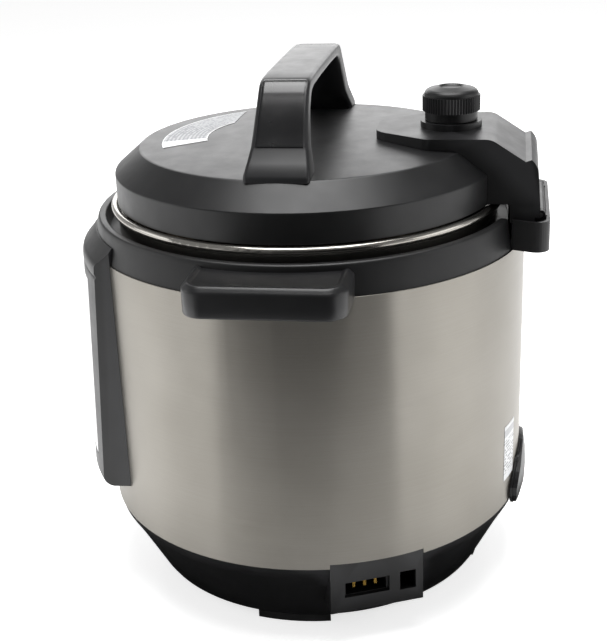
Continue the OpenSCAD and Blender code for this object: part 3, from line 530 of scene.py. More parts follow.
@dataclass(frozen=True)
class StudioPaper:
    """Matt white backdrop paper, rolled out as the floor.

    The eye sees an even pale sweep with a hint of tooth.
    """

    name: str = "studio_paper"
    paper_hex: str = "#f4f4f4"
    glow: float = 0.72

    def build(self) -> bpy.types.Material:
        """Builds the material.

        Returns:
            The finished material.
        """
        material, tree, shader = start_material(self.name)
        point = add_node(tree, "TexCoord").outputs["Object"]
        tooth = add_node(tree, "TexNoise", {"Vector": point, "Scale": 1 / (2.0 * MM), "Detail": 3.0})
        colour = ramp(tree, tooth.outputs["Fac"], [(0.2, "#f1f1f1"), (0.8, self.paper_hex)])
        tree.links.new(colour, shader.inputs["Base Color"])
        shader.inputs["Roughness"].default_value = 0.9
        shader.inputs["Specular IOR Level"].default_value = 0.2
        # the sweep is lit through from behind, as on a light table
        glow = ramp(tree, tooth.outputs["Fac"], [(0.2, "#fbfbfb"), (0.8, "#ffffff")])
        tree.links.new(glow, shader.inputs["Emission Color"])
        shader.inputs["Emission Strength"].default_value = self.glow
        return material


@dataclass(frozen=True)
class PaintedShadeSheet:
    """A dark sheet on the table, out of sight, that the steel mirrors: painted shade, seen in reflections only.

    The eye sees almost nothing: a deep black that fades to grey towards its left edge, a painted gradient of the shade
    that the steel mirrors.
    """

    name: str = "painted_dark_reflection"
    fades: bool = True
    fade_from: float = -0.72
    fade_to: float = 0.3

    def build(self) -> bpy.types.Material:
        """Builds the material.

        Returns:
            The finished material.
        """
        material, tree, shader = start_material(self.name)
        point = add_node(tree, "TexCoord").outputs["Object"]
        split = add_node(tree, "SeparateXYZ", {0: point})
        slope = add_node(tree, "Math", {0: split.outputs["Y"], 1: split.outputs["X"]}, operation="DIVIDE")
        mottle = add_node(tree, "TexNoise", {"Vector": point, "Scale": 1 / (4 * MM), "Detail": 2.0})
        # painted reflection: the shade that the steel mirrors runs from black on the right to grey on the left
        fade = spread(tree, slope.outputs[0], self.fade_from, self.fade_to, 1.0 if self.fades else 0.0, 0.0)
        uneven = add_node(tree, "Math", {0: mottle.outputs["Fac"], 1: 0.05}, operation="MULTIPLY")
        both = add_node(tree, "Math", {0: fade, 1: uneven.outputs[0]}, operation="ADD")
        stops = [(0.0, "#0a0a0a"), (0.4, "#262626"), (0.75, "#606060"), (1.0, "#a8a8a8")]
        colour = ramp(tree, both.outputs[0], stops)
        tree.links.new(colour, shader.inputs["Base Color"])
        shader.inputs["Roughness"].default_value = 1.0
        shader.inputs["Specular IOR Level"].default_value = 0.0
        return material


class Slot(Enum):
    """The material slots of the record."""

    SHELL = "shell_plastic"
    LID = "lid_plastic"
    HANDLE = "handle_plastic"
    INLAY = "inlay_gloss"
    KNOB = "knob_plastic"
    CUP = "cup_plastic"
    BUTTON = "button_plastic"
    FASCIA = "fascia_gloss"
    DISPLAY = "display_glass"
    SOCKET = "socket_plastic"
    COMPONENT = "component_plastic"
    SWITCH = "switch_cream"
    FUSE = "fuse_tan"
    BOARD_GREEN = "board_green"
    BOARD_BROWN = "board_brown"
    LABEL = "label_white"
    FLOAT = "float_red"
    SEAL = "seal_silicone"
    FOOT = "foot_rubber"
    SLEEVE = "sleeve_steel"
    POT = "pot_steel"
    PLATED = "plated_steel"
    CAST = "cast_aluminium"
    BRASS = "pin_brass"


def finishes() -> dict[Slot, object]:
    """Names the finish of each material slot.

    Returns:
        Slot to finish.
    """
    return {
        Slot.SHELL: MouldedPlastic("polypropylene_shell_black", "#101011", "#141415", "#2a2a2c", 0.42),
        Slot.LID: MouldedPlastic("polypropylene_lid_black", "#121213", "#161617", "#303032", 0.38),
        Slot.HANDLE: MouldedPlastic("abs_handle_black", "#141415", "#18181a", "#343436", 0.34),
        Slot.INLAY: MouldedPlastic("abs_inlay_black_gloss", "#08080a", "#0b0b0d", "#1c1c1e", 0.24, 0.9, 0.003, 0.3),
        Slot.KNOB: MouldedPlastic("phenolic_knob_black", "#0e0e0f", "#131314", "#2a2a2c", 0.4),
        Slot.CUP: MouldedPlastic("polypropylene_cup_black", "#101011", "#141415", "#2a2a2c", 0.36),
        Slot.BUTTON: MouldedPlastic("abs_key_grey", "#3a3a3d", "#404044", "#5a5a5e", 0.4),
        Slot.FASCIA: MouldedPlastic("acrylic_fascia_black", "#070709", "#0a0a0c", "#1c1c20", 0.1, 1.2, 0.002, 0.6),
        Slot.DISPLAY: MouldedPlastic("acrylic_window_smoked", "#12181b", "#171d21", "#2a3035", 0.07, 1.2, 0.001, 0.8),
        Slot.SOCKET: MouldedPlastic("phenolic_socket_black", "#0c0c0d", "#101011", "#242426", 0.42),
        Slot.COMPONENT: MouldedPlastic("epoxy_component_grey", "#2c3036", "#33383f", "#4c525a", 0.38),
        Slot.SWITCH: MouldedPlastic("nylon_switch_cream", "#d9d0b8", "#e2dac4", "#efe8d6", 0.45),
        Slot.FUSE: MouldedPlastic("fibre_fuse_tan", "#a8905f", "#b59c6a", "#cbb586", 0.55),
        Slot.BOARD_GREEN: CircuitBoard("board_solder_mask_green", "#1c5a34", "#15452a"),
        Slot.BOARD_BROWN: CircuitBoard("board_phenolic_paper_brown", "#8d6b3c", "#75562d"),
        Slot.LABEL: PrintedLabel("polyester_label", "#e6e7e8", "#5a5b60", "#bfc0c2", 0.074, 0.113, 2.2),
        Slot.FLOAT: MouldedPlastic("silicone_float_red", "#8c1f1a", "#9c2720", "#b8453c", 0.4),
        Slot.SEAL: SoftRubber("silicone_seal_milky", "#c9c6bd", "#d8d6ce", 0.5, 0.3),
        Slot.FOOT: SoftRubber("rubber_foot_black", "#121213", "#1b1b1c", 0.7),
        Slot.SLEEVE: BrushedSteel("stainless_sleeve_brushed", "#a9a59e", "#98948c", 0.36, anisotropy=0.97),
        Slot.POT: BrushedSteel("stainless_pot_spun", "#c9c6c0", "#b3afa8", 0.2, 0.3, 80.0, 0.003, 0.5),
        Slot.PLATED: CastMetal("zinc_plated_steel", "#c2c3c4", "#a9abad", 0.28),
        Slot.CAST: CastMetal("die_cast_aluminium", "#b3b4b5", "#9a9b9d", 0.42, 1.2, 0.05),
        Slot.BRASS: CastMetal("brass_contact", "#c9a455", "#a8853e", 0.25),
    }


# ---------------------------------------------------------------------------------------
# Mesh helpers


def mesh_object(name: str, build: bmesh.types.BMesh, smooth_angle: float = 35.0) -> bpy.types.Object:
    """Turns a bmesh into an object with smooth shading that breaks at sharp edges.

    Args:
        name: Name of the piece.
        build: The mesh, which is freed.
        smooth_angle: Edges that turn by more than this, in degrees, stay sharp.

    Returns:
        The new object.
    """
    bmesh.ops.remove_doubles(build, verts=build.verts, dist=0.002 * MM)
    bmesh.ops.recalc_face_normals(build, faces=build.faces)
    for face in build.faces:
        face.smooth = True
    for edge in build.edges:
        if len(edge.link_faces) == 2 and edge.calc_face_angle(0.0) > math.radians(smooth_angle):
            edge.smooth = False
    mesh = bpy.data.meshes.new(name)
    build.to_mesh(mesh)
    build.free()
    piece = bpy.data.objects.new(name, mesh)
    bpy.context.scene.collection.objects.link(piece)
    return piece


def soften_cad(node: bpy.types.Object, width_mm: float, angle: float = 32.0) -> None:
    """Rounds the hard edges of a CAD node with modifiers, so its own mesh stays as it is.

    Args:
        node: The CAD node's object.
        width_mm: Width of the rounding.
        angle: Edges that turn by more than this, in degrees, are rounded.
    """
    weld = node.modifiers.new("weld", "WELD")
    weld.merge_threshold = 0.004 * MM
    flat = node.modifiers.new("dissolve", "DECIMATE")
    flat.decimate_type = "DISSOLVE"
    flat.angle_limit = math.radians(0.6)
    bevel = node.modifiers.new("soft_edge", "BEVEL")
    bevel.width = width_mm * MM
    bevel.segments = 3
    bevel.limit_method = "ANGLE"
    bevel.angle_limit = math.radians(angle)
    bevel.harden_normals = False
    bevel.use_clamp_overlap = True
    normals = node.modifiers.new("weighted", "WEIGHTED_NORMAL")
    normals.keep_sharp = True


def dress(node_name: str, material: bpy.types.Material) -> bpy.types.Object:
    """Gives a CAD node its material.

    Args:
        node_name: The node.
        material: The finished material.

    Returns:
        The node's object.
    """
    node = frame["nodes"][node_name]
    node.data.materials.clear()
    node.data.materials.append(material)
    return node


class Shape(Enum):
    """Whether an outline is closed on itself."""

    OPEN = "open"
    CLOSED = "closed"


Pair = tuple[float, float]


def skin(name: str, rings: list[list[Vector]], around: Shape = Shape.CLOSED, along: Shape = Shape.OPEN,
         caps: bool = True, smooth_angle: float = 35.0) -> bpy.types.Object:
    """Joins a row of rings of points into one skin.

    Args:
        name: Name of the piece.
        rings: Rings of the same number of points, in metres.
        around: Whether each ring closes on itself.
        along: Whether the last ring joins the first.
        caps: Whether the end rings are filled.
        smooth_angle: Edges that turn by more than this, in degrees, stay sharp.

    Returns:
        The new piece.
    """
    build = bmesh.new()
    rows = [[build.verts.new(point) for point in ring] for ring in rings]
    last = len(rows) if along is Shape.CLOSED else len(rows) - 1
    for i in range(last):
        here, there = rows[i], rows[(i + 1) % len(rows)]
        reach = len(here) if around is Shape.CLOSED else len(here) - 1
        for j in range(reach):
            k = (j + 1) % len(here)
            build.faces.new((here[j], here[k], there[k], there[j]))
    if caps and along is Shape.OPEN and around is Shape.CLOSED:
        build.faces.new(rows[0])
        build.faces.new(rows[-1])
    return mesh_object(name, build, smooth_angle)


def ease(value: float) -> float:
    """Eases a share from 0 to 1.

    Args:
        value: The share, which may lie outside 0 to 1.

    Returns:
        The eased share, clamped.
    """
    value = min(1.0, max(0.0, value))
    return value * value * (3 - 2 * value)


def adopt(piece: bpy.types.Object, body: str, material: bpy.types.Material,
          stands_for: tuple[str, ...] = ()) -> bpy.types.Object:
    """Gives an own piece its body and its finish.

    Args:
        piece: The piece.
        body: CAD body that it rides on.
        material: The finish.
        stands_for: CAD nodes that it replaces.

    Returns:
        The piece.
    """
    piece.data.materials.clear()
    piece.data.materials.append(material)
    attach(piece, body)
    if stands_for:
        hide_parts(*stands_for)
    LOG.info("built %s on %s", piece.name, body)
    return piece


@dataclass
class Lid:
    """The lid's top, as the handle's feet meet it."""

    top_radius: float = 107.0
    shoulder_width: float = 16.0
    shoulder_height: float = 14.0
    crown: float = 3.5
    clearance: float = 0.3

    def surface(self, radius: float) -> float:
        """Height of the lid's surface above its shoulder edge.

        Args:
            radius: Distance from the axis, in millimetres.

        Returns:
            Height in millimetres, negative on the shoulder.
        """
        if radius < self.top_radius:
            return self.crown * (1 - (radius / self.top_radius) ** 2)
        return -(radius - self.top_radius) * self.shoulder_height / self.shoulder_width


@dataclass
class BridgeHandle:
    """The lid's bridge handle: two sloped feet, a fold and a level grip, in one moulding.

    Heights are above the lid's shoulder edge; the handle runs along X.
    """

    lid: Lid
    stations: tuple = (
        # outer x and height, inner x and height, half width
        (107.3, 0.0, 85.5, 1.2, 19.4),
        (107.2, 0.9, 85.4, 2.2, 19.4),
        (106.4, 2.6, 84.4, 4.2, 19.2),
        (100.2, 8.8, 81.2, 8.6, 18.0),
        (94.3, 14.8, 78.2, 13.4, 16.9),
        (92.9, 16.6, 77.2, 15.0, 16.6),
        (88.6, 22.4, 74.8, 19.6, 16.2),
        (83.2, 30.2, 71.2, 27.0, 15.7),
        (78.2, 36.8, 67.0, 33.6, 15.3),
        (74.4, 41.4, 62.6, 38.4, 15.1),
        (71.6, 44.6, 59.4, 40.8, 15.0),
        (68.4, 47.2, 56.4, 41.9, 15.0),
        (64.2, 49.1, 53.0, 42.3, 15.0),
        (58.0, 50.0, 49.0, 42.5, 15.0),
        (44.0, 50.5, 38.0, 42.6, 15.0),
        (22.0, 50.85, 20.0, 42.7, 15.0),
        (0.0, 50.9, 0.0, 42.7, 15.0))
    outer_corner: float = 2.4
    inner_corner: float = 3.4
    corner_steps: int = 5
    base: float = 0.0

    def __post_init__(self) -> None:
        """Finds the height of the lid's shoulder edge above the table, in millimetres."""
        self.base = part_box("lid_cover")[1].z / MM - self.lid.crown

    def section(self, station: tuple, side: int) -> list[Vector]:
        """Makes one rounded cross-section.

        Args:
            station: Outer x and height, inner x and height, and half width.
            side: 1 for the right half, -1 for the left.

        Returns:
            The section's points, in metres.
        """
        outer = Vector((station[0], station[1]))
        inner = Vector((station[2], station[3]))
        depth, half = (inner - outer).length, station[4]
        inward = (inner - outer).normalized()
        points = []
        corners = ((0, 1, self.outer_corner, 90), (0, -1, self.outer_corner, 180),
                   (1, -1, self.inner_corner, 270), (1, 1, self.inner_corner, 0))
        for far, sign, radius, start in corners:
            centre_depth = radius if far == 0 else depth - radius
            centre_side = sign * (half - radius)
            for k in range(self.corner_steps + 1):
                angle = math.radians(start + 90 * k / self.corner_steps)
                deep = centre_depth + radius * math.cos(angle)
                across = centre_side + radius * math.sin(angle)
                place = outer + inward * deep
                points.append(Vector((side * place.x, across, self.base + place.y)) * MM)
        return points

    def build(self, slot: Slot, material: bpy.types.Material) -> bpy.types.Object:
        """Builds the handle.

        Args:
            slot: Not used.
            material: Its finish.

        Returns:
            The handle.
        """
        right = [self.section(station, 1) for station in self.stations]
        left = [[Vector((-p.x, p.y, p.z)) for p in ring] for ring in reversed(right[:-1])]
        for ring in (right[0], left[-1]):
            for point in ring:
                radius = math.hypot(point.x, point.y) / MM
                point.z = (self.base + self.lid.surface(radius) + self.lid.clearance) * MM
        piece = skin("bridge_handle", right + left, smooth_angle=50.0)
        return adopt(piece, "lock", material, ("lid_handle",))

    def outer_line(self, share: float) -> tuple[Vector, Vector, float]:
        """Finds a point on the outer face between the foot's top and the fold.

        Args:
            share: 0 at the lower end of the insert, 1 at its upper end.

        Returns:
            The point in the XZ plane, the outward direction and the half width.
        """
        first, last = 4.55, 12.3
        place = first + (last - first) * share
        index = min(int(place), len(self.stations) - 2)
        part = place - index
        here, there = self.stations[index], self.stations[index + 1]
        before = self.stations[max(index - 1, 0)]
        beyond = self.stations[min(index + 2, len(self.stations) - 1)]
        point = Vector([spline(part, before[k], here[k], there[k], beyond[k]) for k in (0, 1)])
        tangent = (Vector(there[:2]) - Vector(here[:2])).normalized()
        return point, Vector((-tangent.y, tangent.x)) * -1, here[4] + (there[4] - here[4]) * part

    def build_inlays(self, material: bpy.types.Material) -> list[bpy.types.Object]:
        """Builds the glossy insert of each leg, folded over the handle's shoulder.

        Args:
            material: Their finish.

        Returns:
            Both inserts.
        """
        made = []
        count, across, rim = 40, 20, 1.5
        for side, name in ((1, "handle_insert_right"), (-1, "handle_insert_left")):
            rows = []
            for i in range(count + 1):
                point, outward, half = self.outer_line(i / count)
                row = []
                for j in range(across + 1):
                    spot = 2 * j / across - 1
                    # the edges dip under the handle's skin all round
                    edge = min((1 - abs(spot)) * (half - rim), 34 * min(i, count - i) / count)
                    lift = -0.55 + 0.8 * ease(edge / 1.1)
                    lifted = point + outward * lift
                    row.append(Vector((side * lifted.x, spot * (half - rim), self.base + lifted.y)) * MM)
                rows.append(row)
            piece = skin(name, rows, around=Shape.OPEN, caps=False, smooth_angle=70.0)
            made.append(adopt(piece, "lock", material, ("handle_inlays",) if side > 0 else ()))
        return made


def spline(part: float, before: float, here: float, there: float, beyond: float) -> float:
    """Interpolates between two values with a smooth run through its neighbours.

    Args:
        part: 0 at the first value, 1 at the second.
        before: Value ahead of the first.
        here: First value.
        there: Second value.
        beyond: Value after the second.

    Returns:
        The value in between.
    """
    return 0.5 * (2 * here + (there - before) * part
                  + (2 * before - 5 * here + 4 * there - beyond) * part ** 2
                  + (3 * here - before - 3 * there + beyond) * part ** 3)


@dataclass
class CarryHandle:
    """A side handle: a shallow tray-like grip with a hollow underside."""

    root_radius: float = 133.4
    corner: float = 13.0
    rings: tuple = (
        # inset and height above the handle's underside
        (4.6, 15.4), (4.4, 14.6), (4.0, 3.0), (3.2, 0.4), (2.4, 0.0), (1.2, 0.0), (0.4, 0.35), (0.0, 1.2),
        (0.0, 7.0), (0.0, 14.2), (0.25, 15.1), (0.9, 15.8), (2.0, 16.9), (2.7, 17.6), (3.4, 17.95),
        (4.4, 18.0), (5.2, 17.75), (6.0, 17.3), (7.0, 17.1))
    corner_steps: int = 8
    root_steps: int = 16

    def outline(self, inset: float, reach: float, half: float) -> list[Pair]:
        """Makes the grip's outline seen from above.

        Args:
            inset: How far it is drawn in.
            reach: Distance of the grip's end from the axis.
            half: Half width of the grip.

        Returns:
            The outline's points, in millimetres.
        """
        far, wide = reach - inset, half - inset
        corner = max(self.corner - inset, 2.0)
        points = []
        for sign, start in ((-1, 270), (1, 0)):
            for k in range(self.corner_steps + 1):
                angle = math.radians(start + 90 * k / self.corner_steps)
                points.append((far - corner + corner * math.cos(angle),
                               sign * (wide - corner) + corner * math.sin(angle)))
        for k in range(self.root_steps + 1):
            y = wide - 2 * wide * k / self.root_steps
            points.append((math.sqrt(self.root_radius ** 2 - y * y), y))
        return points

    def build(self, node: str, slot: Slot, material: bpy.types.Material) -> bpy.types.Object:
        """Builds one handle where its CAD node is.

        Args:
            node: The CAD node.
            slot: Not used.
            material: Its finish.

        Returns:
            The handle.
        """
        low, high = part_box(node)
        side = 1 if high.x > 0 else -1
        reach = max(abs(low.x), abs(high.x)) / MM
        half = high.y / MM
        foot = high.z / MM - 18.0
        rows = [[Vector((side * x, y, foot + up)) * MM for x, y in self.outline(inset, reach, half)]
                for inset, up in self.rings]
        piece = skin("grip_" + node.rsplit("_", 1)[1], rows, smooth_angle=42.0)
        return adopt(piece, "cooker_body", material, (node,))


@dataclass
class SensorSpring:
    """Steel compression spring that pushes the temperature sensor up against the pot."""

    travel: float = 3.0
    turns: float = 7.5
    wire_radius: float = 0.6
    steps_per_turn: int = 24
    wire_sides: int = 10

    def build(self, slot: Slot, material: bpy.types.Material) -> bpy.types.Object:
        """Winds the spring.

        Args:
            slot: Not used.
            material: Its finish.

        Returns:
            The spring.
        """
        low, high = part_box("sensor_spring")
        middle = (low + high) / 2
        wire = self.wire_radius * MM
        coil = (high.x - low.x) / 2 - wire * 1.1
        rings, steps = [], round(self.turns * self.steps_per_turn)
        # the last turn at each end lies almost flat, as on a closed spring
        for i in range(steps + 1):
            part = i / steps
            rise = ease(part) * 0.35 + part * 0.65
            height = low.z + wire + (high.z - low.z - 2 * wire) * rise
            angle = math.tau * self.turns * part
            out = Vector((math.cos(angle), math.sin(angle), 0.0))
            centre = Vector((middle.x, middle.y, height)) + out * coil
            rings.append([centre + out * (wire * math.cos(turn)) + Vector((0, 0, wire * math.sin(turn)))
                          for turn in (math.tau * k / self.wire_sides for k in range(self.wire_sides))])
        piece = adopt(skin("sensor_coil", rings), "cooker_body", material, ("sensor_spring",))
        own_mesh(piece)
        return piece


class Glyph(Enum):
    """Plain marks on the keys, none of them a letter."""

    MINUS = "minus"
    PLUS = "plus"
    DOT = "dot"
    RING = "ring"
    SQUARE = "square"
    BARS = "bars"
    TRIANGLE = "triangle"
    DROP = "drop"


@dataclass
class ControlPanel:
    """Print, key marks and unlit display segments on the sloped front panel."""

    foot_radius: float = 154.0
    top_radius: float = 148.0
    foot_height: float = 77.0
    top_height: float = 225.0
    film: float = 0.08
    key_proud: float = 0.9
    key_ring: Pair = (7.0, 7.5)
    digit: Pair = (7.0, 15.0)
    glyphs: tuple = (Glyph.MINUS, Glyph.PLUS, Glyph.RING, Glyph.SQUARE, Glyph.DROP, Glyph.TRIANGLE,
                     Glyph.DOT, Glyph.BARS)

    def radius(self, height: float) -> float:
        """Radius of the panel's face.

        Args:
            height: Height above the table, in millimetres.

        Returns:
            The radius, in millimetres.
        """
        share = (height - self.foot_height) / (self.top_height - self.foot_height)
        return self.foot_radius + (self.top_radius - self.foot_radius) * share

    def on_face(self, azimuth: float, across: float, height: float, lift: float) -> Vector:
        """Places a point on the panel.

        Args:
            azimuth: Azimuth of the mark's middle, in radians.
            across: Distance from it along the face, in millimetres.
            height: Height above the table, in millimetres.
            lift: Height above the face, in millimetres.

        Returns:
            The point, in metres.
        """
        radius = self.radius(height)
        angle = azimuth + across / radius
        return Vector(((radius + lift) * math.cos(angle), (radius + lift) * math.sin(angle), height)) * MM

    def keys(self) -> list[tuple[float, float]]:
        """Finds the keys.

        Returns:
            Azimuth in radians and height in millimetres of each key.
        """
        found = []
        for number in range(1, 9):
            low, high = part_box(f"button_{number}")
            middle = (low + high) / 2
            found.append((math.atan2(middle.y, middle.x), middle.z / MM))
        return found

    def bar(self, build: bmesh.types.BMesh, azimuth: float, across: Pair, heights: Pair, lift: float) -> None:
        """Adds a bar that follows the curved face.

        Args:
            build: The mesh that takes it.
            azimuth: Azimuth that the widths are counted from, in radians.
            across: Where it starts and ends along the face, in millimetres.
            heights: Its lower and upper edge, in millimetres.
            lift: Height above the face, in millimetres.
        """
        steps = max(1, round((across[1] - across[0]) / 3))
        row = []
        for i in range(steps + 1):
            place = across[0] + (across[1] - across[0]) * i / steps
            row.append([build.verts.new(self.on_face(azimuth, place, z, lift)) for z in heights])
        for here, there in zip(row, row[1:]):
            build.faces.new((here[0], there[0], there[1], here[1]))

    def build_print(self, ink: bpy.types.Material) -> bpy.types.Object:
        """Builds the printed rings, bars and frame lines.

        Args:
            ink: Their finish.

        Returns:
            The print.
        """
        build = bmesh.new()
        for azimuth, height in self.keys():
            rings = [[build.verts.new(self.on_face(azimuth, size * math.cos(math.radians(a)),
                                                   height + size * math.sin(math.radians(a)), self.film))
                      for a in range(0, 360, 12)] for size in self.key_ring]
            for i in range(len(rings[0])):
                j = (i + 1) % len(rings[0])
                build.faces.new((rings[0][i], rings[1][i], rings[1][j], rings[0][j]))
            side = 1 if azimuth > math.radians(-90) else -1
            for line, length in enumerate((13.0, 8.0)):
                ends = sorted((side * 10.0, side * (10.0 + length)))
                top = height + 2.2 - 3.4 * line
                self.bar(build, azimuth, (ends[0], ends[1]), (top - 1.1, top), self.film)
        front = math.radians(270)
        low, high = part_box("display_window")
        frame_low, frame_high, half = low.z / MM - 2.4, high.z / MM + 2.4, 34.0
        for heights in ((frame_low - 0.5, frame_low), (frame_high, frame_high + 0.5)):
            self.bar(build, front, (-half, half), heights, self.film)
        for sign in (-1, 1):
            ends = sorted((sign * half, sign * (half - 0.5)))
            self.bar(build, front, (ends[0], ends[1]), (frame_low, frame_high), self.film)
        return adopt(mesh_object("panel_print", build), "cooker_body", ink)

    def build_segments(self, ink: bpy.types.Material) -> bpy.types.Object:
        """Builds the unlit segments behind the window's face.

        Args:
            ink: Their finish.

        Returns:
            The segments.
        """
        build = bmesh.new()
        low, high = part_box("display_window")
        middle = (low.z + high.z) / 2 / MM
        wide, tall = self.digit
        front = math.radians(270)
        for place in (-20.0, -9.0, 9.0, 20.0):
            for up in (-tall / 2, 0.0, tall / 2):
                self.bar(build, front, (place - wide / 2 + 1, place + wide / 2 - 1),
                         (middle + up - 0.6, middle + up + 0.6), self.film)
            for side in (-1, 1):
                for start in (-tall / 2, 0.0):
                    edge = place + side * wide / 2
                    self.bar(build, front, (edge - 0.6, edge + 0.6),
                             (middle + start + 0.9, middle + start + tall / 2 - 0.9), self.film)
        for up in (-3.0, 3.0):
            self.bar(build, front, (-0.7, 0.7), (middle + up - 0.7, middle + up + 0.7), self.film)
        return adopt(mesh_object("display_segments", build), "cooker_body", ink)

    def glyph_outlines(self, glyph: Glyph) -> list[list[Pair]]:
        """Gives a key mark's shapes.

        Args:
            glyph: The mark.

        Returns:
            Closed outlines in millimetres round the key's middle.
        """
        def box(x0: float, y0: float, x1: float, y1: float) -> list[Pair]:
            """Gives a box's corners."""
            return [(x0, y0), (x1, y0), (x1, y1), (x0, y1)]

        def wheel(radius: float, count: int) -> list[Pair]:
            """Gives the corners of a regular polygon."""
            turns = (math.tau * i / count for i in range(count))
            return [(radius * math.cos(turn), radius * math.sin(turn)) for turn in turns]

        outer, inner = wheel(2.0, 24), wheel(1.4, 24)
        drop = [(x, y) for x, y in wheel(1.4, 20) if y < 1.0] + [(0.0, 2.4)]
        shapes = {
            Glyph.MINUS: [box(-2.2, -0.4, 2.2, 0.4)],
            Glyph.PLUS: [box(-2.2, -0.4, 2.2, 0.4), box(-0.4, 0.42, 0.4, 2.2), box(-0.4, -2.2, 0.4, -0.42)],
            Glyph.DOT: [wheel(1.3, 20)],
            Glyph.SQUARE: [box(-1.5, -1.5, 1.5, 1.5)],
            Glyph.BARS: [box(-2, y, 2, y + 0.6) for y in (-1.6, -0.3, 1.0)],
            Glyph.TRIANGLE: [wheel(2.1, 3)],
            Glyph.DROP: [sorted(drop, key=lambda corner: math.atan2(corner[1], corner[0]))],
            Glyph.RING: [[outer[i], outer[(i + 1) % 24], inner[(i + 1) % 24], inner[i]] for i in range(24)],
        }
        return shapes[glyph]

    def build_key_marks(self, ink: bpy.types.Material) -> list[bpy.types.Object]:
        """Builds the mark on each key, which moves with it.

        Args:
            ink: Their finish.

        Returns:
            The marks.
        """
        made = []
        for number, ((azimuth, height), glyph) in enumerate(zip(self.keys(), self.glyphs), 1):
            build = bmesh.new()
            out = Vector((math.cos(azimuth), math.sin(azimuth), 0))
            side = Vector((-math.sin(azimuth), math.cos(azimuth), 0))
            middle = out * (self.radius(height) + self.key_proud + 0.03) + Vector((0, 0, height))
            for outline in self.glyph_outlines(glyph):
                corners = [(middle + side * x + Vector((0, 0, y))) * MM for x, y in outline]
                build.faces.new([build.verts.new(corner) for corner in corners])
            made.append(adopt(mesh_object(f"key_mark_{number}", build), f"key_{number}", ink))
        return made

    def build(self, made: dict[Slot, bpy.types.Material]) -> None:
        """Builds all of the panel's own pieces.

        Args:
            made: Not used.
        """
        white = PrintedInk("screen_print_white", "#c9cacc", "#a8aaad").build()
        grey = PrintedInk("unlit_segments", "#30383c", "#282f33", 0.35).build()
        self.build_print(white)
        self.build_segments(grey)
        self.build_key_marks(white)


@dataclass
class CadGroup:
    """A sub-assembly whose CAD nodes keep their shape and get a finish and soft edges."""

    name: str
    softened: dict[str, float]
    special: dict[str, object]

    def build(self) -> None:
        """Softens the edges and sets the finishes that differ from the slot's."""
        for node, width in self.softened.items():
            soften_cad(frame["nodes"][node], width)
        for node, finish in self.special.items():
            dress(node, finish.build())
        LOG.info("dressed %s", self.name)


@dataclass(frozen=True)
class Softbox:
    """One rectangular light: where it hangs, its size in metres and how bright its face is."""

    name: str
    place: tuple[float, float, float]
    size: Pair
    radiance: float


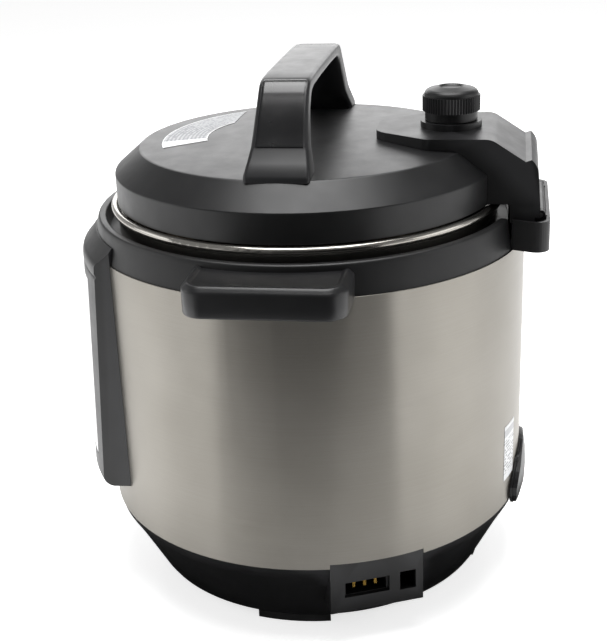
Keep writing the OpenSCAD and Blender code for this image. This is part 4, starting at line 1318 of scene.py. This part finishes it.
@dataclass
class Studio:
    """Pale floor, soft lights and the camera."""

    softboxes: tuple = (
        Softbox("top_softbox", (-0.05, 0.0, 1.5), (0.92, 1.05), 6.6),
        Softbox("back_softbox", (-1.5, -0.2, 0.78), (1.8, 0.85), 2.1),
        Softbox("left_softbox", (0.1, -1.5, 0.75), (0.9, 0.8), 1.2),
        Softbox("right_softbox", (0.1, 1.5, 0.8), (0.9, 0.8), 1.3))
    aim: tuple = (0.0, 0.0, 0.2)
    sheet_start: float = 0.33
    sheet_length: float = 1.3
    sheet_rises_at: float = 1.1
    floor_half: float = 9.0
    lens_mm: float = 69.74
    roll_degrees: float = 2.289

    def floor(self) -> bpy.types.Object:
        """Lays the backdrop paper.

        Returns:
            The floor.
        """
        build = bmesh.new()
        bmesh.ops.create_grid(build, x_segments=36, y_segments=36, size=self.floor_half)
        sheet = mesh_object("backdrop", build)
        sheet.location.z = -0.0002
        sheet.data.materials.append(StudioPaper().build())
        return sheet

    def lay_shade_sheet(self) -> bpy.types.Object:
        """Lays a dark sheet in front of the object, seen only in reflections: painted shade in what the steel mirrors.

        Returns:
            The sheet.
        """
        rows = []
        for i in range(25):
            along = self.sheet_start + self.sheet_length * i / 24
            x, up = min(along, self.sheet_rises_at), max(0.0, along - self.sheet_rises_at) * 1.9
            left, right = 0.1 - x * 0.95, x * 1.13 - 0.03
            rows.append([Vector((x, left + (right - left) * j / 12, 0.0006 + up)) for j in range(13)])
        # painted reflection: a dark sheet that only the steel's reflections see
        shade_sheet = skin("painted_reflection_sheet", rows, around=Shape.OPEN, caps=False)
        shade_sheet.data.materials.append(PaintedShadeSheet().build())
        self.hide_from_paper(shade_sheet)
        return shade_sheet

    def painted_contact_shadow(self) -> bpy.types.Object:
        """Lays a black ring round the feet, seen only in reflections: painted shadow of the floor under the object,
        which darkens what the base mirrors.

        Returns:
            The ring.
        """
        rows = [[Vector((radius * math.cos(math.tau * j / 48), radius * math.sin(math.tau * j / 48), 0.0004))
                 for j in range(48)] for radius in (0.02, 0.08, 0.14, 0.2)]
        # painted shadow: the dark ring stands in for the shade on the floor under the base
        ring = skin("painted_contact_shadow", rows, caps=False)
        ring.data.materials.append(PaintedShadeSheet("painted_contact_shadow_black", fades=False).build())
        self.hide_from_paper(ring)
        return ring

    def hide_from_paper(self, shade_sheet: bpy.types.Object) -> None:
        """Lets a sheet of painted shade show in reflections only, so the paper under it stays lit.

        Args:
            shade_sheet: The sheet of painted shade.
        """
        shade_sheet.visible_camera = False
        shade_sheet.visible_diffuse = False
        shade_sheet.visible_shadow = False

    def light(self, box: Softbox) -> bpy.types.Object:
        """Hangs one rectangular softbox.

        Args:
            box: The softbox.

        Returns:
            The light.
        """
        data = bpy.data.lights.new(box.name, "AREA")
        data.shape = "RECTANGLE"
        data.size, data.size_y = box.size
        data.energy = box.radiance * math.pi * box.size[0] * box.size[1]
        lamp = bpy.data.objects.new(box.name, data)
        lamp.location = box.place
        lamp.rotation_mode = "QUATERNION"
        lamp.rotation_quaternion = (Vector(self.aim) - lamp.location).to_track_quat("-Z", "Y")
        bpy.context.scene.collection.objects.link(lamp)
        return lamp

    def camera(self) -> bpy.types.Object:
        """Sets up the camera at the right height and side of the object.

        Returns:
            The camera.
        """
        data = bpy.data.cameras.new("camera")
        data.lens = self.lens_mm
        data.sensor_width = 36.0
        camera = bpy.data.objects.new("camera", data)
        eye = Vector((0.7751, 0.1305, 0.4737))
        forward = Vector((-0.9161, -0.1615, -0.3669))
        camera.location = eye
        camera.rotation_mode = "QUATERNION"
        turn = forward.to_track_quat("-Z", "Y")
        camera.rotation_quaternion = turn @ Matrix.Rotation(-math.radians(self.roll_degrees), 3, "Z").to_quaternion()
        data.clip_start, data.clip_end = 0.01, 50.0
        bpy.context.scene.collection.objects.link(camera)
        bpy.context.scene.camera = camera
        return camera

    def surroundings(self) -> None:
        """Makes the room: bright near the horizon, dimmer overhead."""
        world = bpy.data.worlds.new("studio")
        bpy.context.scene.world = world
        world.use_nodes = True
        tree = world.node_tree
        direction = add_node(tree, "TexCoord").outputs["Generated"]
        height = add_node(tree, "SeparateXYZ", {0: direction}).outputs["Z"]
        shade = ramp(tree, height, [(0.0, "#cfcfcf"), (0.12, "#b8b8b8"), (0.5, "#8a8a8a"), (1.0, "#808080")])
        background = tree.nodes["Background"]
        tree.links.new(shade, background.inputs[0])
        background.inputs[1].default_value = 1.0

    def build(self) -> None:
        """Builds the whole studio."""
        self.camera()
        self.floor()
        self.lay_shade_sheet()
        self.painted_contact_shadow()
        for box in self.softboxes:
            self.light(box)
        self.surroundings()
        bpy.context.scene.view_settings.view_transform = "Standard"


def main() -> None:
    """Builds the studio, dresses the CAD nodes and builds the own pieces."""
    logging.basicConfig(level=logging.INFO, format="%(message)s")
    Studio().build()
    made = {slot: finish.build() for slot, finish in finishes().items()}
    slots = {part["node"]: Slot(part["material_slot"]) for part in frame["record"]["subparts"]}
    for name in frame["nodes"]:
        dress(name, made[slots[name]])
    for group in (
            CadGroup("body", {"collar": 0.5, "base_shell": 0.6, "cup_rail": 0.3, "power_inlet": 0.3}, {}),
            CadGroup("panel housing", {"control_housing": 1.0}, {}),
            CadGroup("condensation cup", {"condensation_cup": 0.5}, {}),
            CadGroup("lid", {"lid_cover": 0.7, "valve_hood": 0.9}, {"lid_label": ArcLabel()})):
        group.build()
    handle = BridgeHandle(Lid())
    handle.build(Slot.HANDLE, made[Slot.HANDLE])
    handle.build_inlays(made[Slot.INLAY])
    LOG.info("built the bridge handle and its inserts")
    grips = CarryHandle()
    for node in ("side_handle_right", "side_handle_left"):
        grips.build(node, Slot.HANDLE, made[Slot.HANDLE])
        LOG.info("built the grip for %s", node)
    ControlPanel().build(made)
    LOG.info("built the panel's print, segments and key marks")
    spring_slot = slots["sensor_spring"]
    SensorSpring().build(spring_slot, made[spring_slot])
    LOG.info("wound the sensor's spring")


if __name__ == "__main__":
    main()
